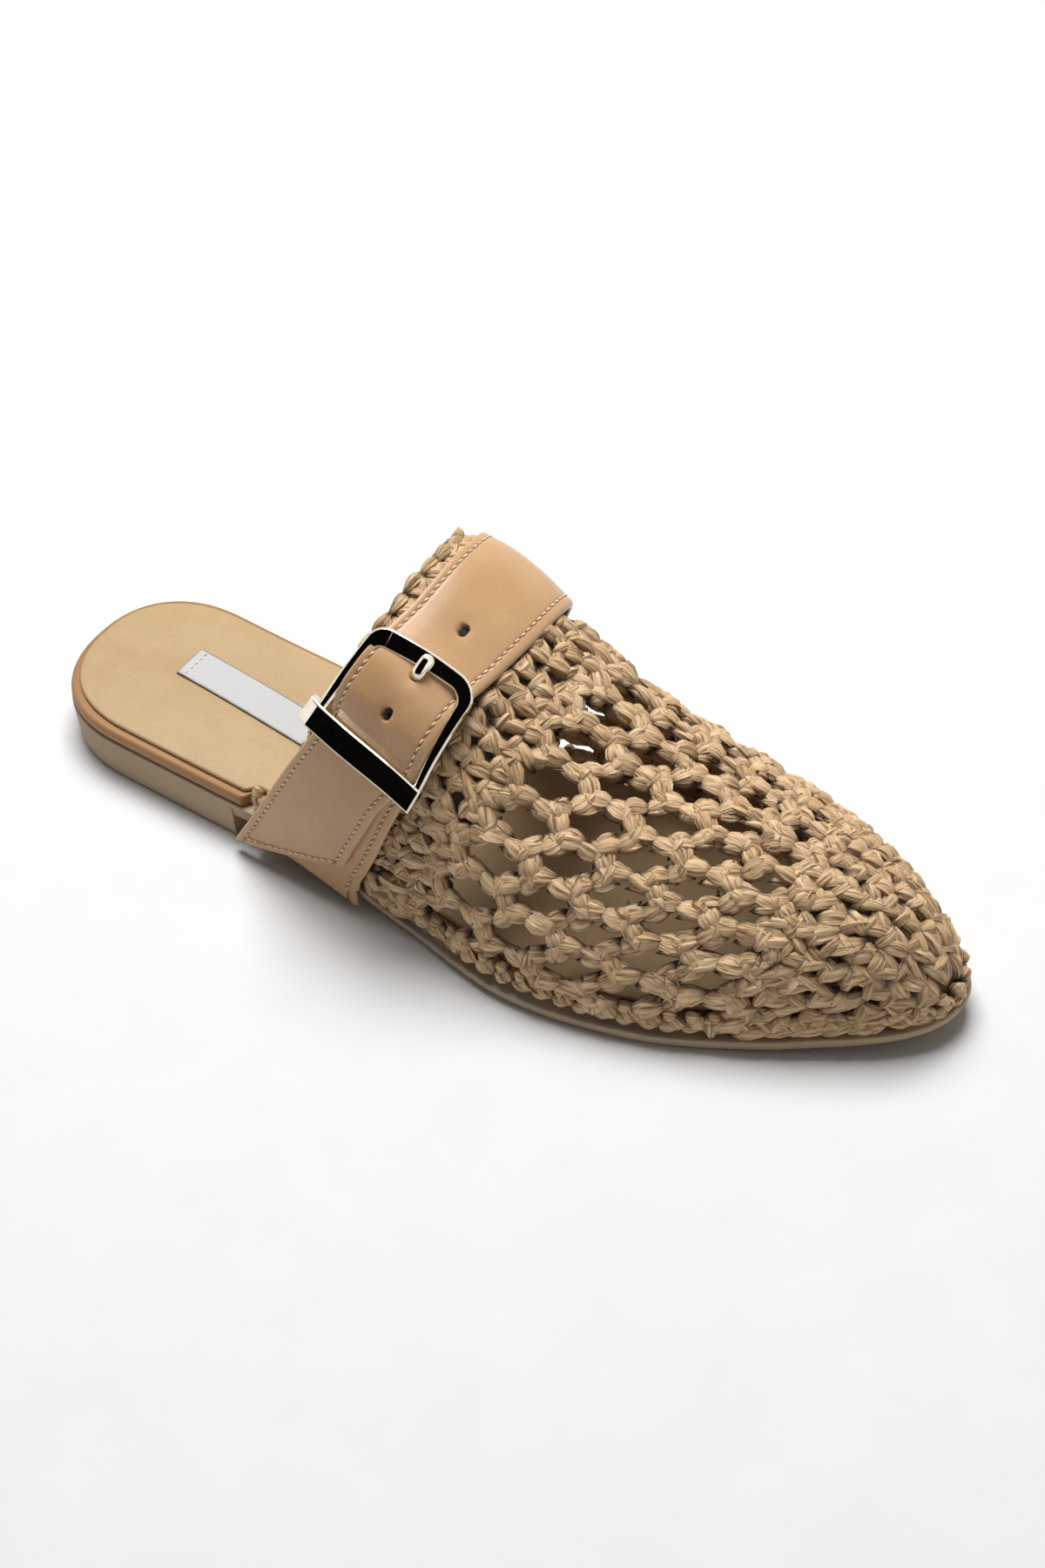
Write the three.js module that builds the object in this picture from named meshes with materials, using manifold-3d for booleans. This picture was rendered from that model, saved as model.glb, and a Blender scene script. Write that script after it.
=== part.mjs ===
// A crocheted mule: an open-backed slipper with a pointed toe and a buckled leather instep strap.
// One right shoe, in millimetres, +Z up, toe towards -Y, outer (lateral) side towards -X.
// Every piece is worked out from the last. Its shape is a function of two things: the distance
// along the sole from the back of the heel, and the angle round the instep from the outer edge,
// over the crest, to the inner edge.
import * as THREE from "three";
import { mergeVertices } from "three/addons/utils/BufferGeometryUtils.js";
import Module from "manifold-3d";

const wasm = await Module();
wasm.setup();

// Sole
const SOLE_LENGTH = 268;
const HEEL_WIDTH = 58.5;
const BALL_WIDTH = 87;
const HEEL_ROUND = 30; // length of the heel's round end
const TOE_ROUND = 22; // length of the toe's round end
const HEEL_HEIGHT = 12.5; // top of the outsole at the heel
const HEEL_BREAST = 71; // front face of the heel block, from the back of the heel
const SHANK_THICKNESS = 5.5;
const SHANK_START = 76; // where the footbed starts to slope down
const FOREPART_THICKNESS = 4;
const TREAD_START = 140; // where the outsole meets the floor again
const TREAD_END = 196; // where the toe starts to lift
const TOE_SPRING = 5;
const SOLE_TAPER = 1.1; // how far the side leans in at the floor
const SOLE_RADIUS = 1.2;

// Footbed
const CLEARANCE = 0.3; // between pieces that meet
const BOARD_THICKNESS = 3.6;
const BOARD_BULGE = 0.8; // roundness of the wrapped edge
const BAND_END = 4.5; // the wrapped edge shows up to this far behind the heel's breast
const BAND_FADE = 6.5; // and is tucked inside the crochet over this length
const SOCK_MARGIN = 2.4; // wrapped edge that shows round the sock
const TOE_ROOM = 1.3; // between the footbed's edge and the crochet that leans over it
const SOCK_THICKNESS = 1.1;
const SOCK_PAD = 1.3; // rise of the heel pad
const LABEL_WIDTH = 11.5;
const LABEL_LENGTH = 58;
const LABEL_THICKNESS = 0.5;
const LABEL_START = 32;
const LABEL_SIDE = 3.2; // its start lies this far to the inner side
const LABEL_SLANT = -0.115; // and it runs to the outer side as it goes forward

// Upper
const WALL = 2.3; // crochet between its strands
const RIDGE = 1.6; // how far strands and rows stand out of it
const WAIST_SWELL = 0.6; // how far the crochet overhangs the sole at the waist
const RIM = 0.7; // and stays inside its edge at the forepart
const INSTEP_HEIGHT = 82; // crest of the last over the outsole, at the collar
const NOSE_LENGTH = 20; // length over which the crest drops to the toe
const SCALLOP = 2.2;
const PRESSED = 0.5; // share of the relief that is left under the strap
const STRAP_ROOM = 0.6; // between the strap and the crochet, whose strands are uneven
const NET_ROWS = 5;
const NET_START = 0.333; // first row of gaps, a share of the way from collar to toe
const NET_PITCH = 0.0935;
const GAP_PITCH = 13.8; // degrees round the instep
const GAP_DRIFT = -3.3; // degrees from one row to the next
const GAP_FIRST = 9;
const DENSE_PITCH = 0.031;
const GAP_INSIDE = 0.56; // gap at the last, a share of the cell of the net
const GAP_OUTSIDE = 0.8;

// Strap and buckle. Angles are degrees round the instep from the outer edge.
const STRAP_WIDTH = 29.2;
const STRAP_THICKNESS = 2;
const BASE_THICKNESS = 1.2;
const FREE_END = -4.7; // lower corner of the slanted end
const SLANT = 6.5;
const HOLE_ANGLES = [77, 59.9, 47.6];
const HOLE_RADIUS = 1.6;
const BAR_ANGLE = 51.5;
const BAR_RADIUS = 0.8;
const EYE_THICKNESS = 0.6;
const PRONG_RADIUS = 0.8;
const FRAME_THICKNESS = 2.2;
const FRAME_TOP = 66.4; // outer edge of the top bar, at the strap's middle
const FRAME_SKEW = 4.8; // degrees that the top bar climbs from rear to front
const TOP_BAR = 4.8; // degrees that the top bar covers
const SIDE_BAR = 2.6;
const KEEPER_REACH = 0.06; // share of the strap's width that the keeper reaches past each edge
const PRONG_SIDE = 0.48; // prong and holes, a share of the width from the rear edge
const KEEPER_LOW = 33;
const KEEPER_HIGH = 39.4;

// Plan of the last. along is a share of the sole's length, the sides are shares of the width.
const PLAN = [
  { along: 0.0, outer: 0.45, inner: 0.55, of: HEEL_WIDTH },
  { along: 0.036, outer: 0.469, inner: 0.532, of: HEEL_WIDTH },
  { along: 0.11, outer: 0.494, inner: 0.504, of: HEEL_WIDTH },
  { along: 0.216, outer: 0.525, inner: 0.468, of: HEEL_WIDTH },
  { along: 0.354, outer: 0.38, inner: 0.3, of: BALL_WIDTH },
  { along: 0.485, outer: 0.435, inner: 0.38, of: BALL_WIDTH },
  { along: 0.616, outer: 0.515, inner: 0.475, of: BALL_WIDTH },
  { along: 0.746, outer: 0.455, inner: 0.49, of: BALL_WIDTH },
  { along: 0.851, outer: 0.313, inner: 0.42, of: BALL_WIDTH },
  { along: 0.933, outer: 0.168, inner: 0.338, of: BALL_WIDTH },
  { along: 1.0, outer: 0.1, inner: 0.3, of: BALL_WIDTH },
];

// Profile of the last. height is a share of the instep's height, crest a share of the ball's
// width to the inner side, wide and tall are how much squarer than an ellipse the section is.
const PROFILE = [
  { along: 0.272, height: 1.19, crest: 0.07, wide: 0.5, tall: 0.04 },
  { along: 0.388, height: 1.0, crest: 0.08, wide: 0.5, tall: 0.05 },
  { along: 0.485, height: 0.9, crest: 0.095, wide: 0.49, tall: 0.05 },
  { along: 0.616, height: 0.617, crest: 0.07, wide: 0.24, tall: 0.01 },
  { along: 0.746, height: 0.502, crest: 0.073, wide: 0.11, tall: 0.03 },
  { along: 0.851, height: 0.439, crest: 0.067, wide: 0.09, tall: 0.04 },
  { along: 0.933, height: 0.333, crest: 0.045, wide: 0.06, tall: 0.03 },
  { along: 1.0, height: 0.235, crest: 0.015, wide: 0.05, tall: 0.03 },
];

// Edges that run round the instep, from its outer to its inner side. The first three are shares
// of the sole's length, the powers say how soon the edge leans forward on each side.
const COLLAR = { outer: 0.278, crest: 0.428, inner: 0.275, outerPower: 0.6, innerPower: 1.05 };
const STRAP_REAR = { outer: 0.294, crest: 0.445, inner: 0.313, outerPower: 0.76, innerPower: 0.9 };
const STRAP_SPREAD = { outer: 1.29, crest: 0.85, inner: 1.05 }; // along the sole, of its width

const clamp = THREE.MathUtils.clamp;
const lerp = THREE.MathUtils.lerp;
const smoothstep = THREE.MathUtils.smoothstep;
const radians = THREE.MathUtils.degToRad;

// A table's column at a share, on a smooth curve through its rows.
function column(table, at, value) {
  const last = table.length - 1;
  const x = clamp(at, table[0].along, table[last].along);
  let i = 0;
  while (i < last - 1 && x > table[i + 1].along) i++;
  const slope = (k) => {
    const a = table[Math.max(k - 1, 0)];
    const b = table[Math.min(k + 1, last)];
    return (value(b) - value(a)) / (b.along - a.along);
  };
  const from = table[i];
  const to = table[i + 1];
  const span = to.along - from.along;
  const t = (x - from.along) / span;
  const rise = value(to) - value(from);
  const leave = slope(i) * span;
  const arrive = slope(i + 1) * span;
  const bend = 3 * rise - 2 * leave - arrive;
  return value(from) + leave * t + bend * t ** 2 + (leave + arrive - 2 * rise) * t ** 3;
}

// 0 at the end of a round nose and 1 past its length.
function nose(distance, length, power) {
  const q = clamp(1 - distance / length, 0, 1);
  return (1 - q ** power) ** (1 / power);
}

// Outer and inner edge of the plan, taken in all round by inset.
function edges(along, inset) {
  const share = along / SOLE_LENGTH;
  const outer = column(PLAN, share, (r) => -r.outer * r.of) + inset;
  const inner = column(PLAN, share, (r) => r.inner * r.of) - inset;
  const heel = nose(along - inset, HEEL_ROUND, 2.3);
  const toe = nose(SOLE_LENGTH - inset - along, TOE_ROUND, 2.1);
  const middle = (outer + inner) / 2;
  const half = ((inner - outer) / 2) * heel * toe;
  return { outer: middle - half, inner: middle + half };
}

// Where a station of the plan goes when the plan is taken in.
function inward(along, inset) {
  const heel = inset * Math.max(1 - along / HEEL_ROUND, 0);
  const toe = inset * Math.max(1 - (SOLE_LENGTH - along) / TOE_ROUND, 0);
  return along + heel - toe;
}

function toeLift(along) {
  return TOE_SPRING * clamp((along - TREAD_END) / (SOLE_LENGTH - TREAD_END), 0, 1) ** 2;
}

// Top of the outsole, which carries the footbed and the upper.
function seat(along) {
  const down = smoothstep(along, SHANK_START, TREAD_START);
  return lerp(HEEL_HEIGHT, FOREPART_THICKNESS, down) + toeLift(along);
}

// Underside of the outsole in front of the heel block.
function shank(along) {
  const forward = smoothstep(along, HEEL_BREAST, TREAD_START);
  const under = seat(along) - lerp(SHANK_THICKNESS, FOREPART_THICKNESS, forward);
  return Math.max(under, toeLift(along));
}

// A point of the shoe in the part's axes.
const place = (across, along, up) => new THREE.Vector3(across, -along, up);

// How far the last's edge lies inside the sole's.
function feather(along) {
  const rim = lerp(-WAIST_SWELL, RIM, smoothstep(along, 112, 150));
  return WALL + RIDGE + rim;
}

// A point outside the last by out, at an angle in degrees round the instep.
function skin(along, angle, out) {
  const inset = feather(along) - out;
  const { outer, inner } = edges(along, inset);
  const share = along / SOLE_LENGTH;
  const bend = nose(SOLE_LENGTH - inset - along, NOSE_LENGTH, 2);
  const height = (column(PROFILE, share, (r) => r.height) * INSTEP_HEIGHT + out) * bend;
  const middle = (outer + inner) / 2;
  const crest = lerp(middle, column(PROFILE, share, (r) => r.crest) * BALL_WIDTH, bend);
  const wide = column(PROFILE, share, (r) => r.wide);
  const tall = column(PROFILE, share, (r) => r.tall);
  const sine = Math.sin(radians(angle));
  const cosine = Math.cos(radians(angle));
  const reach = lerp(inner - crest, crest - outer, (1 + cosine) / 2);
  const across = crest - reach * cosine * (1 + wide * sine ** 2);
  const up = height * sine * (1 + tall * cosine ** 2);
  return place(across, along, seat(along) + CLEARANCE + up);
}

// Distance along the sole of an edge that runs round the instep.
function round(edge, angle) {
  const sine = clamp(Math.sin(radians(angle)), 0, 1);
  if (angle < 90) return SOLE_LENGTH * lerp(edge.outer, edge.crest, sine ** edge.outerPower);
  return SOLE_LENGTH * lerp(edge.inner, edge.crest, sine ** edge.innerPower);
}

// A point of the shell, at a share of the way from the collar to the toe.
function shell(share, angle, out) {
  const tip = SOLE_LENGTH - feather(SOLE_LENGTH) + out;
  return skin(lerp(round(COLLAR, angle), tip, share), angle, out);
}

// Closed solid through rings of points. Rings that shrink to a point or a line need no cap.
function loft(rings) {
  const count = rings[0].length;
  const points = rings.flat();
  const faces = [];
  for (let i = 0; i < rings.length - 1; i++) {
    for (let j = 0; j < count; j++) {
      const a = i * count + j;
      const b = i * count + ((j + 1) % count);
      faces.push([a, b, b + count], [a, b + count, a + count]);
    }
  }
  const end = (rings.length - 1) * count;
  for (let j = 1; j < count - 1; j++) {
    faces.push([0, j + 1, j], [end, end + j, end + j + 1]);
  }
  return solid(points, faces);
}

// Manifold of points and triangles, wound outwards, without its empty triangles.
function solid(points, faces) {
  const loose = new THREE.BufferGeometry().setFromPoints(points);
  loose.setIndex(faces.flat());
  const merged = mergeVertices(loose, 1e-4);
  const at = (k) => new THREE.Vector3().fromBufferAttribute(merged.attributes.position, k);
  const index = merged.index.array;
  let kept = [];
  let volume = 0;
  for (let k = 0; k < index.length; k += 3) {
    const [a, b, c] = [index[k], index[k + 1], index[k + 2]];
    if (a === b || b === c || c === a) continue;
    kept.push([a, b, c]);
    volume += at(a).dot(at(b).cross(at(c)));
  }
  if (volume < 0) kept = kept.map(([a, b, c]) => [a, c, b]);
  const mesh = new wasm.Mesh({
    numProp: 3,
    vertProperties: new Float32Array(merged.attributes.position.array),
    triVerts: new Uint32Array(kept.flat()),
  });
  return new wasm.Manifold(mesh);
}

const group = new THREE.Group();

function add(name, shape, material) {
  const mesh = shape.asOriginal().simplify(0.01).getMesh();
  const geometry = new THREE.BufferGeometry();
  geometry.setAttribute("position", new THREE.BufferAttribute(mesh.vertProperties, 3));
  geometry.setIndex(new THREE.BufferAttribute(mesh.triVerts, 1));
  geometry.computeVertexNormals();
  const node = new THREE.Mesh(geometry, new THREE.MeshStandardMaterial(material));
  node.name = name;
  group.add(node);
}

// Stations along the sole, closer at its ends and with the given ones among them.
function stations(extra) {
  const list = [...extra];
  const middle = 22;
  for (let i = 0; i <= 9; i++) {
    list.push(HEEL_ROUND * (1 - Math.cos((Math.PI / 2) * (i / 9))));
    list.push(SOLE_LENGTH - TOE_ROUND * (1 - Math.cos((Math.PI / 2) * (i / 9))));
  }
  for (let i = 1; i < middle; i++) list.push(lerp(HEEL_ROUND, SOLE_LENGTH - TOE_ROUND, i / middle));
  list.sort((a, b) => a - b);
  return list.filter((along, i) => i === 0 || along - list[i - 1] > 0.05);
}

// Section of a plate: levels are [inset, height] from the underside up, one side and the other.
function plateSection(along, levels, crown, columns) {
  const ring = [];
  for (const [inset, up] of levels) {
    const s = inward(along, inset);
    ring.push(place(edges(s, inset).outer, s, up));
  }
  const [topInset, topUp] = levels[levels.length - 1];
  const s = inward(along, topInset);
  const rim = edges(s, topInset);
  for (let k = 1; k < columns; k++) {
    const across = lerp(rim.outer, rim.inner, k / columns);
    ring.push(place(across, s, topUp + crown(s, k / columns)));
  }
  for (const [inset, up] of [...levels].reverse()) {
    const side = inward(along, inset);
    ring.push(place(edges(side, inset).inner, side, up));
  }
  return ring;
}

// Outsole
const soleStations = stations([HEEL_BREAST, SHANK_START, TREAD_START, TREAD_END]);
const soleRings = [];
for (const along of soleStations) {
  const undersides = along < HEEL_BREAST ? [0] : [shank(along)];
  if (along === HEEL_BREAST) undersides.unshift(0);
  for (const under of undersides) {
    const levels = [
      [SOLE_TAPER + SOLE_RADIUS, under],
      [SOLE_TAPER, under + SOLE_RADIUS],
      [0.2, seat(along) - 0.6],
      [0.8, seat(along)],
    ];
    soleRings.push(plateSection(along, levels, () => 0, 1));
  }
}
add("outsole", loft(soleRings), { color: 0x9f8c76, roughness: 0.75 });

// Footbed: the wrapped board, the sock on it and the label on the sock
const inside = (along) => feather(along) + CLEARANCE + TOE_ROOM;
const bandEnd = HEEL_BREAST - BAND_END;
const tucked = (along) => smoothstep(along, bandEnd, bandEnd + BAND_FADE);
const footbedInset = (along) => lerp(0.3, inside(along), tucked(along));
const boardUnder = (along) => seat(along) + CLEARANCE;
const boardTop = (along) => boardUnder(along) + BOARD_THICKNESS;
const fade = [0, 0.23, 0.46, 0.69, 0.85, 1, 1.46].map((share) => bandEnd + BAND_FADE * share);
const footStations = stations(fade);

const boardRings = footStations.map((along) => {
  const inset = footbedInset(along);
  const low = boardUnder(along);
  const high = boardTop(along);
  const levels = [
    [inset + BOARD_BULGE, low],
    [inset, lerp(low, high, 0.3)],
    [inset, lerp(low, high, 0.7)],
    [inset + BOARD_BULGE, high],
  ];
  return plateSection(along, levels, () => 0, 1);
});
add("insole_board", loft(boardRings), { color: 0xb07c4c, roughness: 0.5 });

// Rise of the heel pad, highest on the middle line.
function pad(along, share) {
  const forward = clamp(along / SHANK_START, 0, 1);
  return SOCK_PAD * Math.sin(Math.PI * forward) * (1 - (2 * share - 1) ** 4);
}

const sockUnder = (along) => boardTop(along) + CLEARANCE;
const sockInset = (along) => footbedInset(along) + lerp(SOCK_MARGIN, 0.9, tucked(along));
const sockRings = footStations.map((along) => {
  const inset = sockInset(along);
  const low = sockUnder(along);
  const levels = [
    [inset, low],
    [inset, low + SOCK_THICKNESS / 2],
    [inset + 0.5, low + SOCK_THICKNESS],
  ];
  return plateSection(along, levels, pad, 6);
});
add("sock_lining", loft(sockRings), { color: 0xcfae7c, roughness: 0.6 });

const labelRings = [];
for (let i = 0; i <= 12; i++) {
  const along = LABEL_START + (LABEL_LENGTH * i) / 12;
  const middle = LABEL_SIDE + LABEL_SLANT * (along - LABEL_START);
  const { outer, inner } = edges(along, sockInset(along) + 0.5);
  const ring = [];
  for (const [side, up] of [[-1, 0], [0, 0], [1, 0], [1, 1], [0, 1], [-1, 1]]) {
    const across = middle + (side * LABEL_WIDTH) / 2;
    const rise = pad(along, (across - outer) / (inner - outer));
    const base = sockUnder(along) + SOCK_THICKNESS + rise + CLEARANCE;
    ring.push(place(across, along, base + up * LABEL_THICKNESS));
  }
  labelRings.push(ring);
}
add("label", loft(labelRings), { color: 0xd6d6d4, roughness: 0.85 });

// Upper: outer shell less the last, with the gaps of its net cut through
const COLUMNS = 26;
const NET_END = NET_START + (NET_ROWS - 0.5) * NET_PITCH;
const NET_EDGE = NET_START - NET_PITCH / 2;
const strapFront = (angle) => {
  const sine = clamp(Math.sin(radians(angle)), 0, 1);
  const side = angle < 90 ? STRAP_SPREAD.outer : STRAP_SPREAD.inner;
  return round(STRAP_REAR, angle) + STRAP_WIDTH * lerp(side, STRAP_SPREAD.crest, sine);
};

// Height of the crochet's face, from the hollow between rows to the back of a strand.
function relief(share, angle, row) {
  const tip = SOLE_LENGTH - feather(SOLE_LENGTH);
  const along = lerp(round(COLLAR, angle), tip, share);
  if (along > round(STRAP_REAR, angle) - 4 && along < strapFront(angle) + 4.5) return PRESSED;
  if (share > NET_EDGE - 0.01 && share < NET_END + 0.01) {
    const across = (angle - GAP_FIRST - GAP_DRIFT * ((share - NET_START) / NET_PITCH)) / GAP_PITCH;
    return 0.6 + 0.4 * Math.abs(Math.sin(Math.PI * across));
  }
  return row % 2;
}

const shares = [];
const denseRows = Math.round(NET_EDGE / DENSE_PITCH);
for (let i = 0; i < denseRows * 2; i++) shares.push((NET_EDGE * i) / (denseRows * 2));
for (let i = 0; i < NET_ROWS * 3; i++) shares.push(lerp(NET_EDGE, NET_END, i / (NET_ROWS * 3)));
for (let i = 0; i <= 13; i++) shares.push(lerp(NET_END, 0.965, i / 13));
shares.push(0.98, 0.99, 0.996, 1);

const outerRings = shares.map((share, row) => {
  const ring = [];
  for (let j = 0; j <= COLUMNS; j++) {
    const angle = (180 * j) / COLUMNS;
    const high = share > 0.97 ? 0.5 : relief(share, angle, row);
    const point = shell(share, angle, WALL + RIDGE * high);
    if (row === 0 && j % 2 === 1) point.y += SCALLOP;
    ring.push(point);
  }
  return ring;
});
const innerRings = [];
for (let i = -1; i <= 20; i++) {
  const share = i < 0 ? -0.08 : i <= 18 ? i / 20 : lerp(0.9, 1, nose(i - 18, 2, 2));
  const ring = [];
  for (let j = 0; j <= 18; j++) ring.push(shell(share, 10 * j, 0));
  const first = ring[0].clone();
  const last = ring[18].clone();
  first.z -= 2;
  last.z -= 2;
  innerRings.push([first, ...ring, last]);
}

// Six-sided gap of the net, a cell of its lattice shrunk about its centre.
function gap(share, angle, size) {
  const steps = [
    [0, GAP_PITCH],
    [NET_PITCH, GAP_DRIFT + GAP_PITCH],
    [NET_PITCH, GAP_DRIFT],
    [0, -GAP_PITCH],
    [-NET_PITCH, -GAP_DRIFT - GAP_PITCH],
    [-NET_PITCH, -GAP_DRIFT],
  ];
  const rings = [[-1.5, GAP_INSIDE], [WALL + RIDGE + 1, GAP_OUTSIDE]].map(([out, open]) => {
    return steps.map(([forward, turn], k) => {
      const [forward2, turn2] = steps[(k + 1) % 6];
      const s = share + ((forward + forward2) / 3) * open * size;
      return shell(s, angle + ((turn + turn2) / 3) * open * size, out);
    });
  });
  return loft(rings);
}

const gaps = [];
for (let row = 0; row < NET_ROWS; row++) {
  for (let k = 0; k < 14; k++) {
    const angle = GAP_FIRST + GAP_DRIFT * row + GAP_PITCH * k;
    if (angle > 8.5 && angle < 171.5) gaps.push(gap(NET_START + NET_PITCH * row, angle, 1));
  }
}
for (let k = 0; k < 5; k++) gaps.push(gap(0.036, 108 + GAP_PITCH * k, 0.3));
const wall = loft(outerRings).subtract(loft(innerRings));
const upper = wasm.Manifold.difference([wall, ...gaps]);
add("upper", upper.asOriginal().simplify(0.14), { color: 0xb39b72, roughness: 0.85 });

// Strap
const BASE_OUT = WALL + RIDGE * PRESSED + STRAP_ROOM;
const OVER_BASE = BASE_OUT + BASE_THICKNESS + CLEARANCE;
const BAR_OUT = BASE_OUT + BASE_THICKNESS + CLEARANCE + BAR_RADIUS;
const EYE_RADIUS = BAR_RADIUS + 0.25 + EYE_THICKNESS;
const OVER_BAR = BAR_OUT + EYE_RADIUS + CLEARANCE;

// Underside of the strap: on the crochet, up over the hidden bar, then down on its base.
function strapOut(angle) {
  if (angle > BAR_ANGLE) return lerp(BASE_OUT, OVER_BAR, 1 - smoothstep(angle, BAR_ANGLE + 2, 76));
  return lerp(OVER_BASE, OVER_BAR, smoothstep(angle, 37, BAR_ANGLE - 2));
}

// A point at a share of the strap's width from its rear edge.
function onStrap(share, angle, out) {
  const s = lerp(round(STRAP_REAR, angle), strapFront(angle), share);
  return skin(s, angle, out);
}

// Edges of the strap, shares of its width: cut back at the free end, narrowed in the buckle.
function strapEdges(angle) {
  const buckle = smoothstep(angle, 20, 34) - smoothstep(angle, 70, 84);
  return {
    rear: lerp(-0.06, 0, smoothstep(angle, -5, 18)) + 0.06 * buckle,
    front: lerp(lerp(0.78, 0.93, smoothstep(angle, 5, 40)), 1, smoothstep(angle, 70, 84)),
  };
}

const STRAP_RINGS = 48;
const STRAP_COLUMNS = 5;
const strapRings = [];
for (let i = 0; i <= STRAP_RINGS; i++) {
  const t = i / STRAP_RINGS;
  const under = [];
  const over = [];
  for (let k = 0; k <= STRAP_COLUMNS; k++) {
    const angle = lerp(FREE_END + (SLANT * k) / STRAP_COLUMNS, 179, t);
    const { rear, front } = strapEdges(angle);
    const share = lerp(rear, front, k / STRAP_COLUMNS);
    under.push(onStrap(share, angle, strapOut(angle)));
    over.unshift(onStrap(share, angle, strapOut(angle) + STRAP_THICKNESS));
  }
  strapRings.push([...under, ...over]);
}

// Round rod of a radius through centres, with a flank turned to the given side.
function rod(centres, radius, side, sides) {
  const last = centres.length - 1;
  const rings = centres.map((centre, i) => {
    const along = centres[Math.min(i + 1, last)].clone().sub(centres[Math.max(i - 1, 0)]).normalize();
    const up = along.clone().cross(side).normalize();
    const flank = up.clone().cross(along);
    const ring = [];
    for (let k = 0; k < sides; k++) {
      const turn = (2 * Math.PI * k) / sides;
      const point = centre.clone().addScaledVector(flank, Math.cos(turn) * radius);
      ring.push(point.addScaledVector(up, Math.sin(turn) * radius));
    }
    return ring;
  });
  return loft(rings);
}

// Direction across the strap at an angle, from its rear edge to its front edge.
function crosswise(angle) {
  return onStrap(1, angle, BASE_OUT).sub(onStrap(0, angle, BASE_OUT)).normalize();
}

const holes = HOLE_ANGLES.map((angle) => {
  const low = onStrap(PRONG_SIDE, angle, strapOut(angle) - 2);
  const high = onStrap(PRONG_SIDE, angle, strapOut(angle) + STRAP_THICKNESS + 2);
  return rod([low, high], HOLE_RADIUS, crosswise(angle), 10);
});
const strap = wasm.Manifold.difference([loft(strapRings), ...holes]);
add("strap", strap, { color: 0xb88c66, roughness: 0.45 });

// Base of the strap, with a slot for the eye of the prong
const BASE_RINGS = 20;
const BASE_COLUMNS = 8;
const baseRings = [];
for (let i = 0; i <= BASE_RINGS; i++) {
  const angle = lerp(0, BAR_ANGLE + 3, i / BASE_RINGS);
  const rear = 0.02 + 0.06 * smoothstep(angle, 20, 34);
  const front = lerp(1.03, 0.86, smoothstep(angle, 0, 12)) + 0.06 * smoothstep(angle, 14, 34);
  const under = [];
  const over = [];
  for (let k = 0; k <= BASE_COLUMNS; k++) {
    const share = lerp(rear, front, k / BASE_COLUMNS);
    under.push(onStrap(share, angle, BASE_OUT));
    over.unshift(onStrap(share, angle, BASE_OUT + BASE_THICKNESS));
  }
  baseRings.push([...under, ...over]);
}
const slotRings = [PRONG_SIDE - 0.07, PRONG_SIDE + 0.07].map((share) => [
  onStrap(share, BAR_ANGLE - 3, BASE_OUT - 1),
  onStrap(share, BAR_ANGLE + 5, BASE_OUT - 1),
  onStrap(share, BAR_ANGLE + 5, BASE_OUT + 4),
  onStrap(share, BAR_ANGLE - 3, BASE_OUT + 4),
]);
add("strap_base", loft(baseRings).subtract(loft(slotRings)), { color: 0xb08460, roughness: 0.45 });

// Buckle: an arched frame over the strap, with a broad keeper and a bar under the strap
const BEVEL = 0.45;
const frameUnder = (angle) => strapOut(angle) + STRAP_THICKNESS + CLEARANCE;
const frameOver = (angle) => frameUnder(angle) + FRAME_THICKNESS;

// How far the frame reaches past the strap's width at an angle.
const reach = (angle) => lerp(KEEPER_REACH, 0.01, smoothstep(angle, KEEPER_HIGH, KEEPER_HIGH + 6));

// Bar of the frame that crosses the strap between two angles, which climb by skew to the front.
function crossBar(low, high, past, skew) {
  const rings = [];
  for (let k = 0; k <= 8; k++) {
    const share = lerp(-past, 1 + past, k / 8);
    const climb = skew * (share - 0.5);
    const corners = [
      [low, 0],
      [low, FRAME_THICKNESS - BEVEL],
      [low + BEVEL, FRAME_THICKNESS],
      [high - BEVEL, FRAME_THICKNESS],
      [high, FRAME_THICKNESS - BEVEL],
      [high, 0],
    ];
    rings.push(corners.map(([angle, up]) => {
      return onStrap(share, angle + climb, frameUnder(angle + climb) + up);
    }));
  }
  return loft(rings);
}

// Bar of the frame along one edge of the strap. side is 1 at the front and -1 at the rear.
function sideBar(side) {
  const rings = [];
  const top = FRAME_TOP - 0.5 + (FRAME_SKEW / 2) * side;
  for (let i = 0; i <= 12; i++) {
    const angle = lerp(KEEPER_HIGH - 1, top, i / 12);
    const edge = 0.5 + side * (0.5 + reach(angle));
    const corners = [
      [0, 0],
      [0, FRAME_THICKNESS - BEVEL],
      [BEVEL, FRAME_THICKNESS],
      [SIDE_BAR - BEVEL, FRAME_THICKNESS],
      [SIDE_BAR, FRAME_THICKNESS - BEVEL],
      [SIDE_BAR, 0],
    ];
    rings.push(corners.map(([depth, up]) => {
      return onStrap(edge - (side * depth) / STRAP_WIDTH, angle, frameUnder(angle) + up);
    }));
  }
  return loft(rings);
}

// Lug that carries the hidden bar past the edge of the strap.
function lug(side) {
  const edge = 0.5 + side * (0.5 + reach(BAR_ANGLE));
  const high = frameUnder(BAR_ANGLE) + 0.5;
  const rings = [0.05, 1.3].map((depth) => {
    const share = edge - (side * depth) / STRAP_WIDTH;
    return [
      onStrap(share, BAR_ANGLE - 1.2, BAR_OUT - BAR_RADIUS),
      onStrap(share, BAR_ANGLE + 1.2, BAR_OUT - BAR_RADIUS),
      onStrap(share, BAR_ANGLE + 1.2, high),
      onStrap(share, BAR_ANGLE - 1.2, high),
    ];
  });
  return loft(rings);
}
const barCentres = [];
for (let k = 0; k <= 8; k++) {
  const past = reach(BAR_ANGLE) - 0.01;
  barCentres.push(onStrap(lerp(-past, 1 + past, k / 8), BAR_ANGLE, BAR_OUT));
}
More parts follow.
